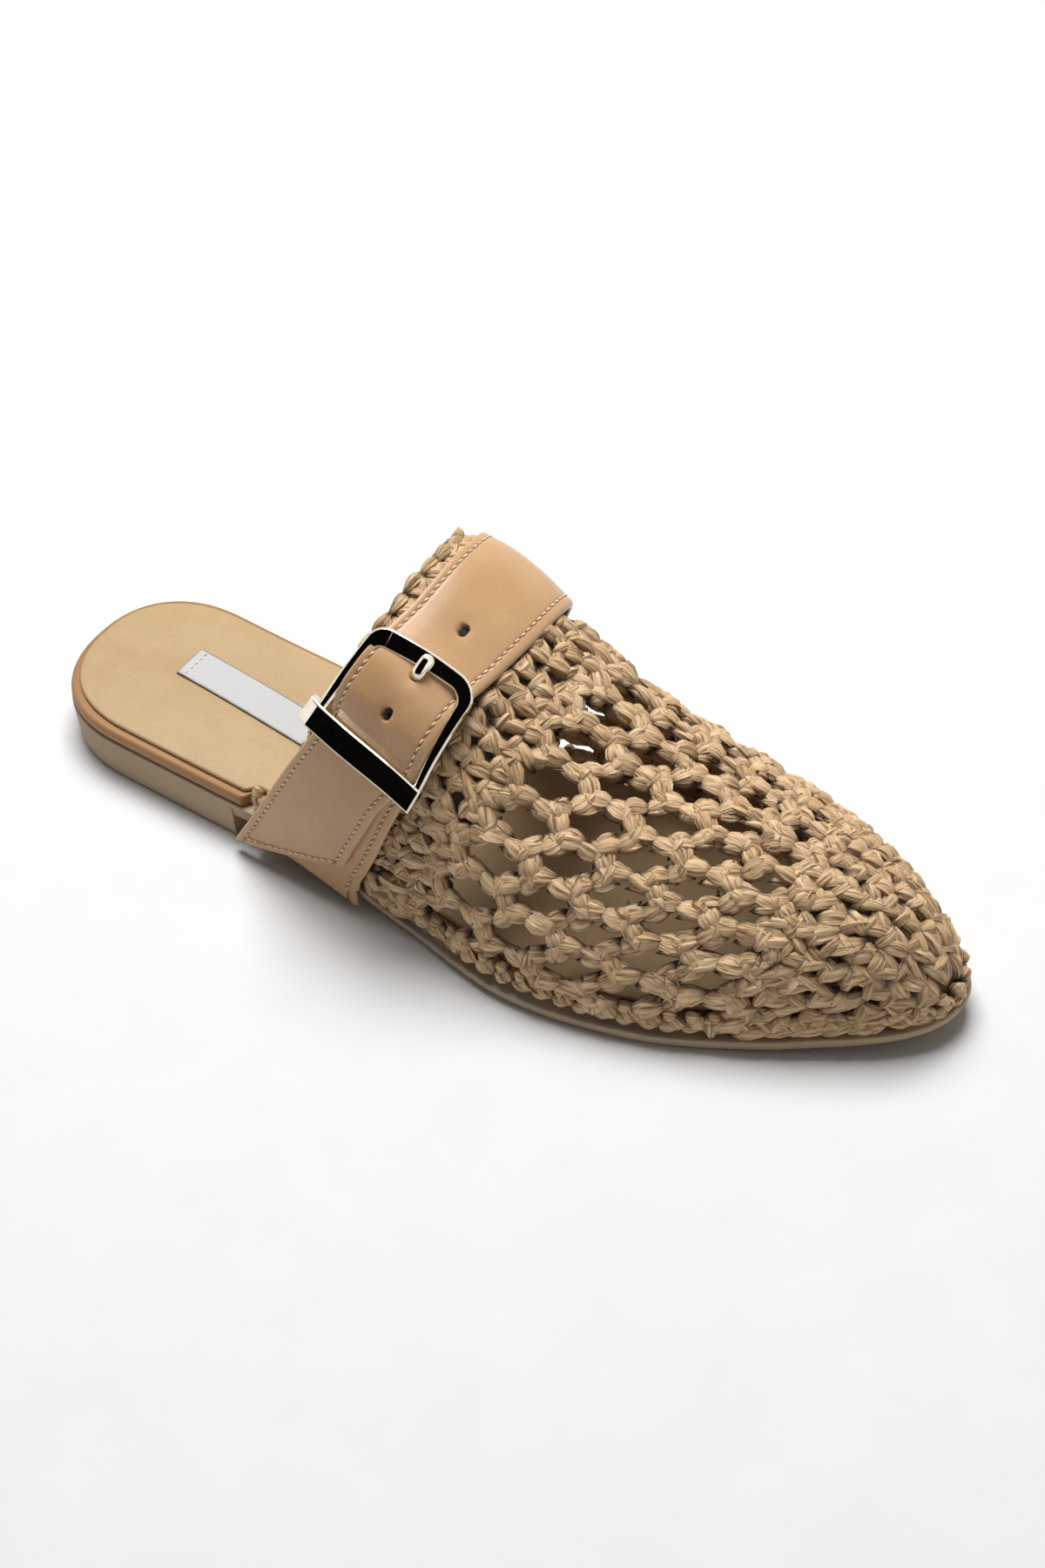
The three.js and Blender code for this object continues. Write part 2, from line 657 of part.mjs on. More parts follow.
const outwards = onStrap(0.5, BAR_ANGLE, BAR_OUT + 1).sub(onStrap(0.5, BAR_ANGLE, BAR_OUT));
const frame = wasm.Manifold.union([
  crossBar(FRAME_TOP - TOP_BAR, FRAME_TOP, reach(FRAME_TOP), FRAME_SKEW),
  crossBar(KEEPER_LOW, KEEPER_HIGH, KEEPER_REACH, 0),
  sideBar(-1),
  sideBar(1),
  lug(-1),
  lug(1),
  rod(barCentres, BAR_RADIUS, outwards, 10),
]);
add("buckle_frame", frame, { color: 0xd8c9a4, metalness: 1, roughness: 0.2 });

// Prong: an eye on the hidden bar and a pin up through the strap's hole, over the top bar
function eyePart(radius, half) {
  const ends = [-half, half].map((offset) => {
    return onStrap(PRONG_SIDE + offset / STRAP_WIDTH, BAR_ANGLE, BAR_OUT);
  });
  return rod(ends, radius, outwards, 14);
}
const eye = eyePart(EYE_RADIUS, 1.1).subtract(eyePart(BAR_RADIUS + 0.25, 2));
const degree = onStrap(PRONG_SIDE, BAR_ANGLE, BAR_OUT)
  .distanceTo(onStrap(PRONG_SIDE, BAR_ANGLE + 1, BAR_OUT));
const hole = HOLE_ANGLES[1];
const mouth = FRAME_TOP - TOP_BAR; // inner edge of the top bar
const onTop = (angle) => [angle, frameOver(angle) + 1.8 * CLEARANCE + PRONG_RADIUS];
const prongPath = [
  [BAR_ANGLE + (EYE_RADIUS - 0.3) / degree, BAR_OUT - 0.1],
  [lerp(BAR_ANGLE, hole, 0.43), BAR_OUT - 0.4],
  [lerp(BAR_ANGLE, hole, 0.91), BAR_OUT + 0.1],
  [hole, strapOut(hole) + STRAP_THICKNESS / 2],
  [hole + 0.3, frameOver(mouth) - 0.4],
  onTop(mouth + 1),
  onTop(lerp(mouth, FRAME_TOP, 0.5)),
  onTop(lerp(mouth, FRAME_TOP, 0.85)),
];
const prongCurve = new THREE.CatmullRomCurve3(
  prongPath.map(([angle, out]) => onStrap(PRONG_SIDE, angle, out)),
);
const pin = rod(prongCurve.getPoints(21), PRONG_RADIUS, crosswise(hole), 8);
add("buckle_prong", eye.add(pin), { color: 0xd8c9a4, metalness: 1, roughness: 0.2 });

const box = new THREE.Box3().setFromObject(group);
const centre = box.getCenter(new THREE.Vector3());
for (const node of group.children) node.geometry.translate(-centre.x, -centre.y, -box.min.z);

export default group;
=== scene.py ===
import math

import bpy
import numpy as np
from mathutils import Matrix, Vector


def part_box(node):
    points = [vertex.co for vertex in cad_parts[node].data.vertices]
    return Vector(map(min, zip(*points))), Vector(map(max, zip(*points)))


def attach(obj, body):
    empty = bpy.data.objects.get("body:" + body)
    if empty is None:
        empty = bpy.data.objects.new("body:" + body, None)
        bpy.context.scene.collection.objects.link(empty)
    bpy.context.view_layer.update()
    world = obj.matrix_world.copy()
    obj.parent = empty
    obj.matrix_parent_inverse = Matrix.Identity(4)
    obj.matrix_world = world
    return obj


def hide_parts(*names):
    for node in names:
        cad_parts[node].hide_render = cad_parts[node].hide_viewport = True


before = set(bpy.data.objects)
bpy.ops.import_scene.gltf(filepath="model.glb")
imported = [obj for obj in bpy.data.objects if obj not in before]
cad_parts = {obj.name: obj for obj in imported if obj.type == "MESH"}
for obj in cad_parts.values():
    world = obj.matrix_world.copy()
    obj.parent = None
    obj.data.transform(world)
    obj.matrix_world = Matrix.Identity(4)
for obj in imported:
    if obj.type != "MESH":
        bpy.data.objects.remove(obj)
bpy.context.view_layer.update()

# The crocheted mule. Lengths are in millimetres in the row frame until a mesh is made. The last's
# shape is a function of the distance along the sole from the back of the heel and of the angle
# round the instep from the outer edge, over the crest, to the inner one.
MM = 0.001

# Sole and footbed
SOLE_LENGTH = 268.0
HEEL_WIDTH = 58.5
BALL_WIDTH = 87.0
HEEL_ROUND = 30.0
TOE_ROUND = 22.0
HEEL_HEIGHT = 12.5
HEEL_BREAST = 71.0
SHANK_THICKNESS = 5.5
SHANK_START = 76.0
FOREPART_THICKNESS = 4.0
TREAD_START = 140.0
TREAD_END = 196.0
TOE_SPRING = 5.0
SOLE_TAPER = 1.1
SOLE_RADIUS = 1.2
SOLE_EDGE = 0.2  # how far the widest ring of the outsole lies inside its plan
CLEARANCE = 0.3
BOARD_THICKNESS = 3.6
BOARD_BULGE = 0.8
BAND_START = HEEL_BREAST + 3.0  # where the footbed's edge starts to narrow
BAND_FADE = 4.0
SOCK_MARGIN = 2.4
TOE_ROOM = 1.3
SOCK_THICKNESS = 1.1
SOCK_PAD = 1.3
LABEL_WIDTH = 11.5
LABEL_LENGTH = 58.0
LABEL_THICKNESS = 0.5
LABEL_START = 32.0
LABEL_SIDE = 3.2
LABEL_SLANT = -0.115

# Upper
WALL = 2.3
RIDGE = 1.6
WAIST_SWELL = 0.6
RIM = 0.7
INSTEP_HEIGHT = 82.0
NOSE_LENGTH = 20.0
PRESSED = 0.5
NET_ROWS = 5
NET_START = 0.333
NET_PITCH = 0.0935
GAP_PITCH = 13.8
GAP_DRIFT = -3.3
GAP_FIRST = 9.0
DENSE_PITCH = 0.031
TOE_ROWS = 8

# Strap and buckle, with angles in degrees
STRAP_ROOM = 0.6
STRAP_WIDTH = 29.2
STRAP_THICKNESS = 2.0
BASE_THICKNESS = 1.2
FREE_END = -4.7  # rear corner of the strap's free end
SLANT = 10.4  # how much further round the front corner is
STRAP_END = 179.0
HOLE_ANGLES = (75.6, 59.9, 48.6)
BAR_ANGLE = 51.5
BAR_RADIUS = 0.8
EYE_THICKNESS = 0.6
FRAME_THICKNESS = 2.2
FRAME_TOP = 66.4
FRAME_SKEW = 4.8
TOP_BAR = 4.8
PRONG_SIDE = 0.52
KEEPER_LOW = 33.0
KEEPER_HIGH = 39.4

# Plan of the last: along and the two sides are shares of the sole's length and of a width.
PLAN = [
    # along, outer, inner, width
    (0.0, 0.45, 0.55, HEEL_WIDTH),
    (0.036, 0.469, 0.532, HEEL_WIDTH),
    (0.11, 0.494, 0.504, HEEL_WIDTH),
    (0.216, 0.525, 0.468, HEEL_WIDTH),
    (0.354, 0.38, 0.3, BALL_WIDTH),
    (0.485, 0.435, 0.38, BALL_WIDTH),
    (0.616, 0.515, 0.475, BALL_WIDTH),
    (0.746, 0.455, 0.49, BALL_WIDTH),
    (0.851, 0.313, 0.42, BALL_WIDTH),
    (0.933, 0.168, 0.338, BALL_WIDTH),
    (1.0, 0.1, 0.3, BALL_WIDTH),
]
PLAN_ROWS = np.array([(a, -o * w, i * w) for a, o, i, w in PLAN])
OUTER, INNER = 1, 2

# Profile of the last: along is a share of the sole's length, height one of the instep's height.
PROFILE = np.array([
    # along, height, crest, wide, tall
    (0.272, 1.19, 0.07, 0.5, 0.04),
    (0.388, 1.0, 0.08, 0.5, 0.05),
    (0.485, 0.9, 0.095, 0.49, 0.05),
    (0.616, 0.617, 0.07, 0.24, 0.01),
    (0.746, 0.502, 0.073, 0.11, 0.03),
    (0.851, 0.439, 0.067, 0.09, 0.04),
    (0.933, 0.333, 0.045, 0.06, 0.03),
    (1.0, 0.235, 0.015, 0.05, 0.03),
])
HEIGHT, CREST, WIDE, TALL = 1, 2, 3, 4

COLLAR = {"outer": 0.278, "crest": 0.428, "inner": 0.275, "outer_power": 0.6, "inner_power": 1.05}
STRAP_REAR = {"outer": 0.294, "crest": 0.445, "inner": 0.313, "outer_power": 0.76, "inner_power": 0.9}
STRAP_SPREAD = {"outer": 1.29, "crest": 0.85, "inner": 1.05}


def lerp(a, b, t):
    return a + (b - a) * t


def smoothstep(x, low, high):
    t = np.clip((np.asarray(x, float) - low) / (high - low), 0, 1)
    return t * t * (3 - 2 * t)


def column(table, at, value):
    """A table's column at shares of the sole's length, on a smooth curve through its rows."""
    x, y = table[:, 0], table[:, value]
    last = len(x) - 1
    before = np.maximum(np.arange(last + 1) - 1, 0)
    after = np.minimum(np.arange(last + 1) + 1, last)
    slope = (y[after] - y[before]) / (x[after] - x[before])
    at = np.clip(at, x[0], x[-1])
    i = np.clip(np.searchsorted(x, at) - 1, 0, last - 1)
    span = x[i + 1] - x[i]
    t = (at - x[i]) / span
    rise = y[i + 1] - y[i]
    leave, arrive = slope[i] * span, slope[i + 1] * span
    bend = 3 * rise - 2 * leave - arrive
    return y[i] + leave * t + bend * t**2 + (leave + arrive - 2 * rise) * t**3


def peak(x, middle, width):
    """1 at the middle, falling off within a width on both sides."""
    return np.exp(-(((x - middle) / width) ** 2))


def floats(*values):
    """Numbers and arrays as arrays of one shape."""
    return np.broadcast_arrays(*(np.asarray(v, float) for v in values))


def lengths(line):
    """Distance of each point of a line from the line's start."""
    return np.concatenate([[0], np.cumsum(np.linalg.norm(np.diff(line, axis=0), axis=1))])


def pick(at, length, line):
    """Points or directions of a line at distances from its start."""
    return np.stack([np.interp(at, length, line[:, k]) for k in range(3)], axis=-1)


def nose(distance, length, power):
    """0 at the end of a round nose and 1 past its length."""
    q = np.clip(1 - np.asarray(distance, float) / length, 0, 1)
    return (1 - q**power) ** (1 / power)


def edges(along, inset):
    """Outer and inner edge of the plan, taken in all round by inset."""
    share = along / SOLE_LENGTH
    outer = column(PLAN_ROWS, share, OUTER) + inset
    inner = column(PLAN_ROWS, share, INNER) - inset
    round_heel = nose(along - inset, HEEL_ROUND, 2.3)
    round_toe = nose(SOLE_LENGTH - inset - along, TOE_ROUND, 2.1)
    middle = (outer + inner) / 2
    half = (inner - outer) / 2 * round_heel * round_toe
    return middle - half, middle + half


def inward(along, inset):
    """Where a station of the plan goes when the plan is taken in."""
    heel = inset * np.maximum(1 - along / HEEL_ROUND, 0)
    toe = inset * np.maximum(1 - (SOLE_LENGTH - along) / TOE_ROUND, 0)
    return along + heel - toe


def toe_lift(along):
    return TOE_SPRING * np.clip((along - TREAD_END) / (SOLE_LENGTH - TREAD_END), 0, 1) ** 2


def seat(along):
    """Top of the outsole."""
    down = smoothstep(along, SHANK_START, TREAD_START)
    return lerp(HEEL_HEIGHT, FOREPART_THICKNESS, down) + toe_lift(along)


def shank(along):
    """Underside of the outsole in front of the heel block."""
    forward = smoothstep(along, HEEL_BREAST, TREAD_START)
    under = seat(along) - lerp(SHANK_THICKNESS, FOREPART_THICKNESS, forward)
    return np.maximum(under, toe_lift(along))


# The part's own axes start at the back of the heel: the outsole's box says where in the row frame.
sole_low, sole_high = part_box("outsole")
trial = np.linspace(0, SOLE_LENGTH, 400)
ROW_Y = sole_high.y / MM + SOLE_EDGE
ROW_X = sole_low.x / MM - edges(inward(trial, SOLE_EDGE), SOLE_EDGE)[0].min()


def place(across, along, up):
    """Points of the shoe in the row frame, in millimetres."""
    return np.stack(np.broadcast_arrays(across + ROW_X, ROW_Y - along, up), axis=-1)


def feather(along):
    return WALL + RIDGE + lerp(-WAIST_SWELL, RIM, smoothstep(along, 112, 150))


def skin(along, angle, out):
    """Points outside the last by out, at angles round the instep."""
    inset = feather(along) - out
    outer, inner = edges(along, inset)
    share = along / SOLE_LENGTH
    bend = nose(SOLE_LENGTH - inset - along, NOSE_LENGTH, 2)
    height = (column(PROFILE, share, HEIGHT) * INSTEP_HEIGHT + out) * bend
    crest = lerp((outer + inner) / 2, column(PROFILE, share, CREST) * BALL_WIDTH, bend)
    sine, cosine = np.sin(np.radians(angle)), np.cos(np.radians(angle))
    reach = lerp(inner - crest, crest - outer, (1 + cosine) / 2)
    across = crest - reach * cosine * (1 + column(PROFILE, share, WIDE) * sine**2)
    up = height * sine * (1 + column(PROFILE, share, TALL) * cosine**2)
    return place(across, along, seat(along) + CLEARANCE + up)


def turned(edge, angle):
    """Distance along the sole of an edge that runs round the instep."""
    sine = np.clip(np.sin(np.radians(angle)), 0, 1)
    outer = lerp(edge["outer"], edge["crest"], sine ** edge["outer_power"])
    inner = lerp(edge["inner"], edge["crest"], sine ** edge["inner_power"])
    return SOLE_LENGTH * np.where(np.asarray(angle) < 90, outer, inner)


def strap_front(angle):
    sine = np.clip(np.sin(np.radians(angle)), 0, 1)
    side = np.where(np.asarray(angle) < 90, STRAP_SPREAD["outer"], STRAP_SPREAD["inner"])
    return turned(STRAP_REAR, angle) + STRAP_WIDTH * lerp(side, STRAP_SPREAD["crest"], sine)


def shell_along(share, angle, out):
    tip = SOLE_LENGTH - feather(SOLE_LENGTH) + out
    return lerp(turned(COLLAR, angle), tip, share)


def shell(share, angle, out):
    """Points of the upper, at shares of the way from the collar to the toe."""
    share, angle, out = floats(share, angle, out)
    return skin(shell_along(share, angle, out), angle, out)


def unit(v):
    return v / np.maximum(np.linalg.norm(v, axis=-1, keepdims=True), 1e-9)


def shell_normal(share, angle, out):
    """Outward directions of the upper."""
    up = unit(shell(share, angle, out + 1) - shell(share, angle, out))
    ahead = shell(share + 0.004, angle, out) - shell(share - 0.004, angle, out)
    aside = shell(share, angle + 1, out) - shell(share, angle - 1, out)
    across = np.cross(ahead, aside)
    across *= np.sign((across * up).sum(-1, keepdims=True))
    size = np.linalg.norm(across, axis=-1, keepdims=True)
    return unit(unit(across) * np.clip(size / 0.3, 0, 1) + up * 0.2)


# Meshes


def make_piece(name, points, faces, material, smooth=None):
    """A mesh piece of points in millimetres, shaded smooth, or sharp past an angle in degrees."""
    mesh = bpy.data.meshes.new(name)
    mesh.from_pydata((np.asarray(points) * MM).tolist(), [], faces)
    mesh.validate()
    mesh.shade_smooth()
    if smooth is not None:
        mesh.set_sharp_from_angle(angle=math.radians(smooth))
    mesh.materials.append(material)
    piece = bpy.data.objects.new(name, mesh)
    bpy.context.scene.collection.objects.link(piece)
    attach(piece, "root")
    return piece


def point_values(piece, **tables):
    """Stores numbers or vectors for each vertex, for the material to read."""
    for name, values in tables.items():
        values = np.asarray(values, np.float32)
        kind, field = ("FLOAT", "value") if values.ndim == 1 else ("FLOAT_VECTOR", "vector")
        attribute = piece.data.attributes.new(name, kind, "POINT")
        attribute.data.foreach_set(field, values.ravel())


def ring_faces(rings, sides, closed=False):
    """Quads between rings of points, with a cap on each end unless the rings close on themselves."""
    faces = []
    for i in range(rings if closed else rings - 1):
        a0, b0 = i * sides, (i + 1) % rings * sides
        for j in range(sides):
            k = (j + 1) % sides
            faces.append((a0 + j, a0 + k, b0 + k, b0 + j))
    if not closed:
        last = (rings - 1) * sides
        faces.append(tuple(range(sides - 1, -1, -1)))
        faces.append(tuple(range(last, last + sides)))
    return faces


def outwards(points, faces):
    """The faces, turned over if they enclose a negative volume."""
    total = 0.0
    for face in faces:
        a = points[face[0]]
        for b, c in zip(face[1:], face[2:]):
            total += float(np.dot(a, np.cross(points[b], points[c])))
    return faces if total > 0 else [face[::-1] for face in faces]


def loft(name, rings, material, smooth=None, closed=False):
    rings = np.asarray(rings)
    points = rings.reshape(-1, 3)
    faces = outwards(points, ring_faces(rings.shape[0], rings.shape[1], closed))
    return make_piece(name, points, faces, material, smooth)


# Materials


class Shader:
    """A material with one Principled shader and short names for its nodes."""

    def __init__(self, name, **sockets):
        self.material = bpy.data.materials.new(name)
        self.material.use_nodes = True
        self.tree = self.material.node_tree
        self.main = self.tree.nodes["Principled BSDF"]
        for socket, value in sockets.items():
            self.set(self.main, socket.replace("_", " "), value)

    def set(self, node, socket, value):
        target = node.inputs[socket]
        if isinstance(value, bpy.types.NodeSocket):
            self.tree.links.new(value, target)
        else:
            target.default_value = value

    def node(self, kind, sockets=None, **settings):
        made = self.tree.nodes.new("ShaderNode" + kind)
        for setting, value in settings.items():
            setattr(made, setting, value)
        for socket, value in (sockets or {}).items():
            self.set(made, socket, value)
        return made

    def attribute(self, name, output="Vector"):
        return self.node("Attribute", attribute_name=name).outputs[output]

    def place(self, scale=(1, 1, 1), source=None):
        """Coordinates of the object in metres, or of an attribute, scaled."""
        if source is None:
            source = self.node("TexCoord").outputs["Object"]
        return self.node("Mapping", {"Vector": source, "Scale": scale}).outputs["Vector"]

    def noise(self, vector, scale, detail=3.0, roughness=0.55):
        sockets = {"Vector": vector, "Scale": scale, "Detail": detail, "Roughness": roughness}
        return self.node("TexNoise", sockets).outputs["Fac"]

    def ramp(self, factor, stops):
        """A colour ramp with (position, linear colour) stops."""
        made = self.node("ValToRGB", {"Fac": factor})
        ramp = made.color_ramp
        while len(ramp.elements) < len(stops):
            ramp.elements.new(0.5)
        for element, (position, value) in zip(ramp.elements, stops):
            element.position = position
            element.color = (*value, 1)
        return made.outputs["Color"]

    def tones(self, factor, dark, light, start=0.3, end=0.7):
        """A ramp between two sRGB codes."""
        return self.ramp(factor, [(start, rgb(dark)), (end, rgb(light))])

    def span(self, factor, low, high, start=0.0, end=1.0):
        sockets = {"Value": factor, "From Min": start, "From Max": end, "To Min": low, "To Max": high}
        return self.node("MapRange", sockets).outputs["Result"]

    def mix(self, factor, a, b, blend="MIX"):
        made = self.node("Mix", data_type="RGBA", blend_type=blend)
        self.set(made, 0, factor)
        self.set(made, 6, a if isinstance(a, bpy.types.NodeSocket) else (*a, 1))
        self.set(made, 7, b if isinstance(b, bpy.types.NodeSocket) else (*b, 1))
        return made.outputs[2]

    def bump(self, height, distance, strength=1.0, normal=None):
        sockets = {"Height": height, "Distance": distance, "Strength": strength}
        made = self.node("Bump", sockets)
        if normal is not None:
            self.set(made, "Normal", normal)
        return made.outputs["Normal"]

    def finish(self, colour=None, roughness=None, normal=None):
        for socket, value in (("Base Color", colour), ("Roughness", roughness), ("Normal", normal)):
            if value is not None:
                self.set(self.main, socket, value)
        return self.material


def rgb(code):
    """Linear colour of an sRGB code such as 0xC09A74."""
    parts = [(code >> shift & 255) / 255 for shift in (16, 8, 0)]
    return tuple(c / 12.92 if c <= 0.04045 else ((c + 0.055) / 1.055) ** 2.4 for c in parts)


def raffia_material():
    """Folded paper yarn: creases along each strand with painted shade in their valleys, a tone for each
    strand, and painted shade on its flanks and where it tucks in.
    """
    s = Shader("raffia", Specular_IOR_Level=0.35)
    fibre = s.attribute("fibre")
    creases = s.noise(s.place((2.6, 2.6, 0.42), fibre), 1.0, 2.5, 0.62)
    fine = s.noise(s.place((7.0, 7.0, 0.8), fibre), 1.0, 2.0)
    folds = s.noise(s.place((1.1, 1.1, 0.3), fibre), 1.0, 0.0)
    # The ramp runs from dark brown to pale on the same noise that bumps the creases: the yarn's own streaky
    # tone, and painted shade in the crease valleys.
    stops = [(0.32, rgb(0x745638)), (0.41, rgb(0xB29068)), (0.5, rgb(0xD8B68A)), (0.7, rgb(0xF0D4AC))]
    pale = s.ramp(creases, stops)
    streaked = s.mix(s.span(fine, 0.0, 0.4, 0.5, 0.3), pale, rgb(0xB08E62))
    toned = s.mix(s.attribute("tone", "Fac"), streaked, s.mix(0.3, streaked, rgb(0xB89A70), "MULTIPLY"))
    # Multiplies towards dark brown where the strands mark their flanks and sunk ends: painted shade in the
    # crevices between strands.
    deep = s.mix(s.attribute("deep", "Fac"), toned, s.mix(1.0, toned, rgb(0x30200F), "MULTIPLY"))
    low = s.bump(creases, 0.0007, 1.0)
    normal = s.bump(folds, 0.0009, 0.7, low)
    return s.finish(deep, s.span(creases, 0.62, 0.5), s.bump(fine, 0.00012, 0.8, normal))


def painted_shade_backing_material():
    """Inner turns of the yarn between the stitches, coloured dark brown: painted shade."""
    s = Shader("raffia_backing_painted_shade", Specular_IOR_Level=0.3)
    grain = s.noise(s.place(), 900, 3.0)
    lumps = s.noise(s.place(), 160, 2.0)
    colour = s.tones(grain, 0x3A2A18, 0x614A30)
    return s.finish(colour, s.span(grain, 0.7, 0.9), s.bump(lumps, 0.002, 0.8))


def leather_material(name, dark, light, grain_scale=1500, grain=0.00006, rough=(0.36, 0.5)):
    """Smooth finished leather: soft clouds of tone and a very fine grain."""
    s = Shader(name, Specular_IOR_Level=0.4)
    where = s.place()
    clouds = s.noise(where, 28, 3.0)
    fine = s.noise(where, grain_scale, 4.0, 0.7)
    colour = s.tones(clouds, dark, light)
    speck = s.mix(s.span(fine, 0.0, 0.16, 0.35, 0.75), colour, s.mix(1.0, colour, rgb(dark), "MULTIPLY"))
    return s, speck, s.span(clouds, *rough), s.bump(fine, grain, 0.8)


def strap_leather():
    """Tan leather, browner in the seams, with paler edges and painted shade in its holes."""
    s, colour, rough, normal = leather_material("strap_leather", 0xC09468, 0xD2A87A, rough=(0.24, 0.36))
    edge = s.mix(s.attribute("edge", "Fac"), colour, rgb(0xD0AE86))
    seam = s.mix(s.attribute("seam", "Fac"), edge, s.mix(1.0, edge, rgb(0xA07C58), "MULTIPLY"))
    # The holes are only dips in the leather: the near black in them is painted shade.
    hole = s.mix(s.attribute("hole", "Fac"), seam, rgb(0x24170E))
    return s.finish(hole, rough, normal)


def band_leather():
    s, colour, rough, normal = leather_material("band_leather", 0x966A3C, 0xA87A48, rough=(0.38, 0.52))
    return s.finish(colour, rough, normal)


def sock_leather():
    s, colour, rough, normal = leather_material(
        "sock_leather", 0xB4976C, 0xBEA278, 1100, 0.00009, (0.5, 0.62)
    )
    where = s.place((1.0, 0.45, 1.0))
    stains = s.noise(where, 70, 6.0, 0.7)
    colour = s.mix(s.span(stains, 0.0, 0.7, 0.5, 0.72), colour, rgb(0xAC8B5E))
    return s.finish(colour, rough, normal)


def rubber_material():
    s = Shader("sole_rubber", Specular_IOR_Level=0.4)
    where = s.place()
    fine = s.noise(where, 2400, 3.0, 0.7)
    clouds = s.noise(where, 20, 2.0)
    base = s.tones(clouds, 0xAD967A, 0xB9A286)
    colour = s.mix(s.span(fine, 0.0, 0.35, 0.4, 0.75), base, rgb(0x9C8568))
    return s.finish(colour, s.span(fine, 0.6, 0.78), s.bump(fine, 0.00008, 0.6))


def label_material():
    """Woven ribbon: fine ribs both ways, with the darker thread of its sewn edges."""
    s = Shader("label_weave", Sheen_Weight=0.15, Specular_IOR_Level=0.3)
    flat = s.attribute("flat")
    warp = s.node("TexWave", {"Vector": flat, "Scale": 1.1, "Distortion": 0.4}, bands_direction="X")
    weft = s.node("TexWave", {"Vector": flat, "Scale": 0.8, "Distortion": 0.4}, bands_direction="Y")
    both = s.node("Math", {0: warp.outputs["Fac"], 1: weft.outputs["Fac"]}, operation="MULTIPLY")
    threads = s.tones(both.outputs[0], 0xC8C7C6, 0xDEDDDB, 0.0, 0.6)
    edge = s.mix(s.attribute("edge", "Fac"), threads, rgb(0x5B5148))
    return s.finish(edge, s.span(both.outputs[0], 0.75, 0.9), s.bump(both.outputs[0], 0.00012, 0.8))


def thread_material(name, dark, light):
    s = Shader(name, Specular_IOR_Level=0.35)
    plies = s.noise(s.place((1.4, 1.4, 2.5), s.attribute("fibre")), 1.8, 2.0)
    return s.finish(s.tones(plies, dark, light, 0.35, 0.65), s.span(plies, 0.5, 0.7),
                    s.bump(plies, 0.00015, 0.8))


def gold_material():
    s = Shader("pale_gold", Metallic=1.0)
    where = s.place()
    wear = s.noise(where, 130, 4.0)
    colour = s.tones(wear, 0xDCD3BF, 0xEEE8DA, 0.35)
    return s.finish(colour, s.span(wear, 0.03, 0.06), s.bump(s.noise(where, 45, 1.0), 0.00006, 0.15))


def floor_material():
    s = Shader("studio_floor", Specular_IOR_Level=0.2)
    fine = s.noise(s.place(), 40, 2.0)
    colour = s.tones(fine, 0xE3E3E3, 0xE6E6E6)
    return s.finish(colour, s.span(fine, 0.7, 0.8))


RAFFIA = raffia_material()
PAINTED_SHADE_BACKING = painted_shade_backing_material()
STRAP_LEATHER = strap_leather()
BAND_LEATHER = band_leather()
SOCK_LEATHER = sock_leather()
RUBBER = rubber_material()
LABEL = label_material()
STRAP_THREAD = thread_material("strap_thread", 0xEAD2A8, 0xF8EBD0)
LABEL_THREAD = thread_material("label_thread", 0xDCD9CE, 0xF2F0E8)
GOLD = gold_material()


# Sole, footbed and label


def plan_stations(extra=()):
    """Stations along the sole, closer at its ends."""
    turn = np.linspace(0, np.pi / 2, 22)
    ends = [HEEL_ROUND * (1 - np.cos(turn)), SOLE_LENGTH - TOE_ROUND * (1 - np.cos(turn))]
    middle = np.linspace(HEEL_ROUND, SOLE_LENGTH - TOE_ROUND, 110)
    every = np.unique(np.round(np.concatenate([*ends, middle, extra]), 3))
    return every[np.concatenate([[True], np.diff(every) > 0.04])]


def plate(name, stations, levels, columns, material, smooth=None, crown=None):
    """A plate with the plan's outline. levels(along) gives (inset, height) from the underside up."""
    def at(along, inset, up, share, rise=None):
        s = inward(along, inset)
        return place(lerp(*edges(s, inset), share), s, up + (rise(s, share) if rise else 0.0))

    rings = []
    for along in stations:
        steps = levels(along)
        rings.append([
            *(at(along, *step, 0) for step in steps),
            *(at(along, *steps[-1], share, crown) for share in np.linspace(0, 1, columns + 1)[1:-1]),
            *(at(along, *step, 1) for step in reversed(steps)),
            *(at(along, *steps[0], share) for share in np.linspace(1, 0, 7)[1:-1]),
        ])
    return loft(name, rings, material, smooth)


def make_outsole():
    def levels(along):
        under = 0.0 if along < HEEL_BREAST else float(shank(along))
        top = float(seat(along))
        turn = np.linspace(0, np.pi / 2, 5)
        low = [
            (SOLE_TAPER + SOLE_RADIUS * (1 - math.sin(t)), under + SOLE_RADIUS * (1 - math.cos(t)))
            for t in turn
        ]
        return [*low, (0.2, top - 0.7), (0.35, top - 0.25), (0.8, top)]

    stations = plan_stations([HEEL_BREAST - 0.6, HEEL_BREAST - 0.02, HEEL_BREAST + 0.05, HEEL_BREAST + 0.5])
    return plate("sole_rubber_body", stations, levels, 2, RUBBER, 35)


def tucked(along):
    """0 where the footbed's edge is open and 1 where it lies inside the crochet."""
    return smoothstep(along, BAND_START, BAND_START + BAND_FADE)


def footbed_stations():
    return plan_stations(np.linspace(BAND_START, BAND_START + BAND_FADE, 12))


def footbed_inset(along):
    return lerp(0.3, feather(along) + CLEARANCE + TOE_ROOM, tucked(along))


def board_under(along):
    return seat(along) + CLEARANCE


def board_top(along):
    return board_under(along) + BOARD_THICKNESS


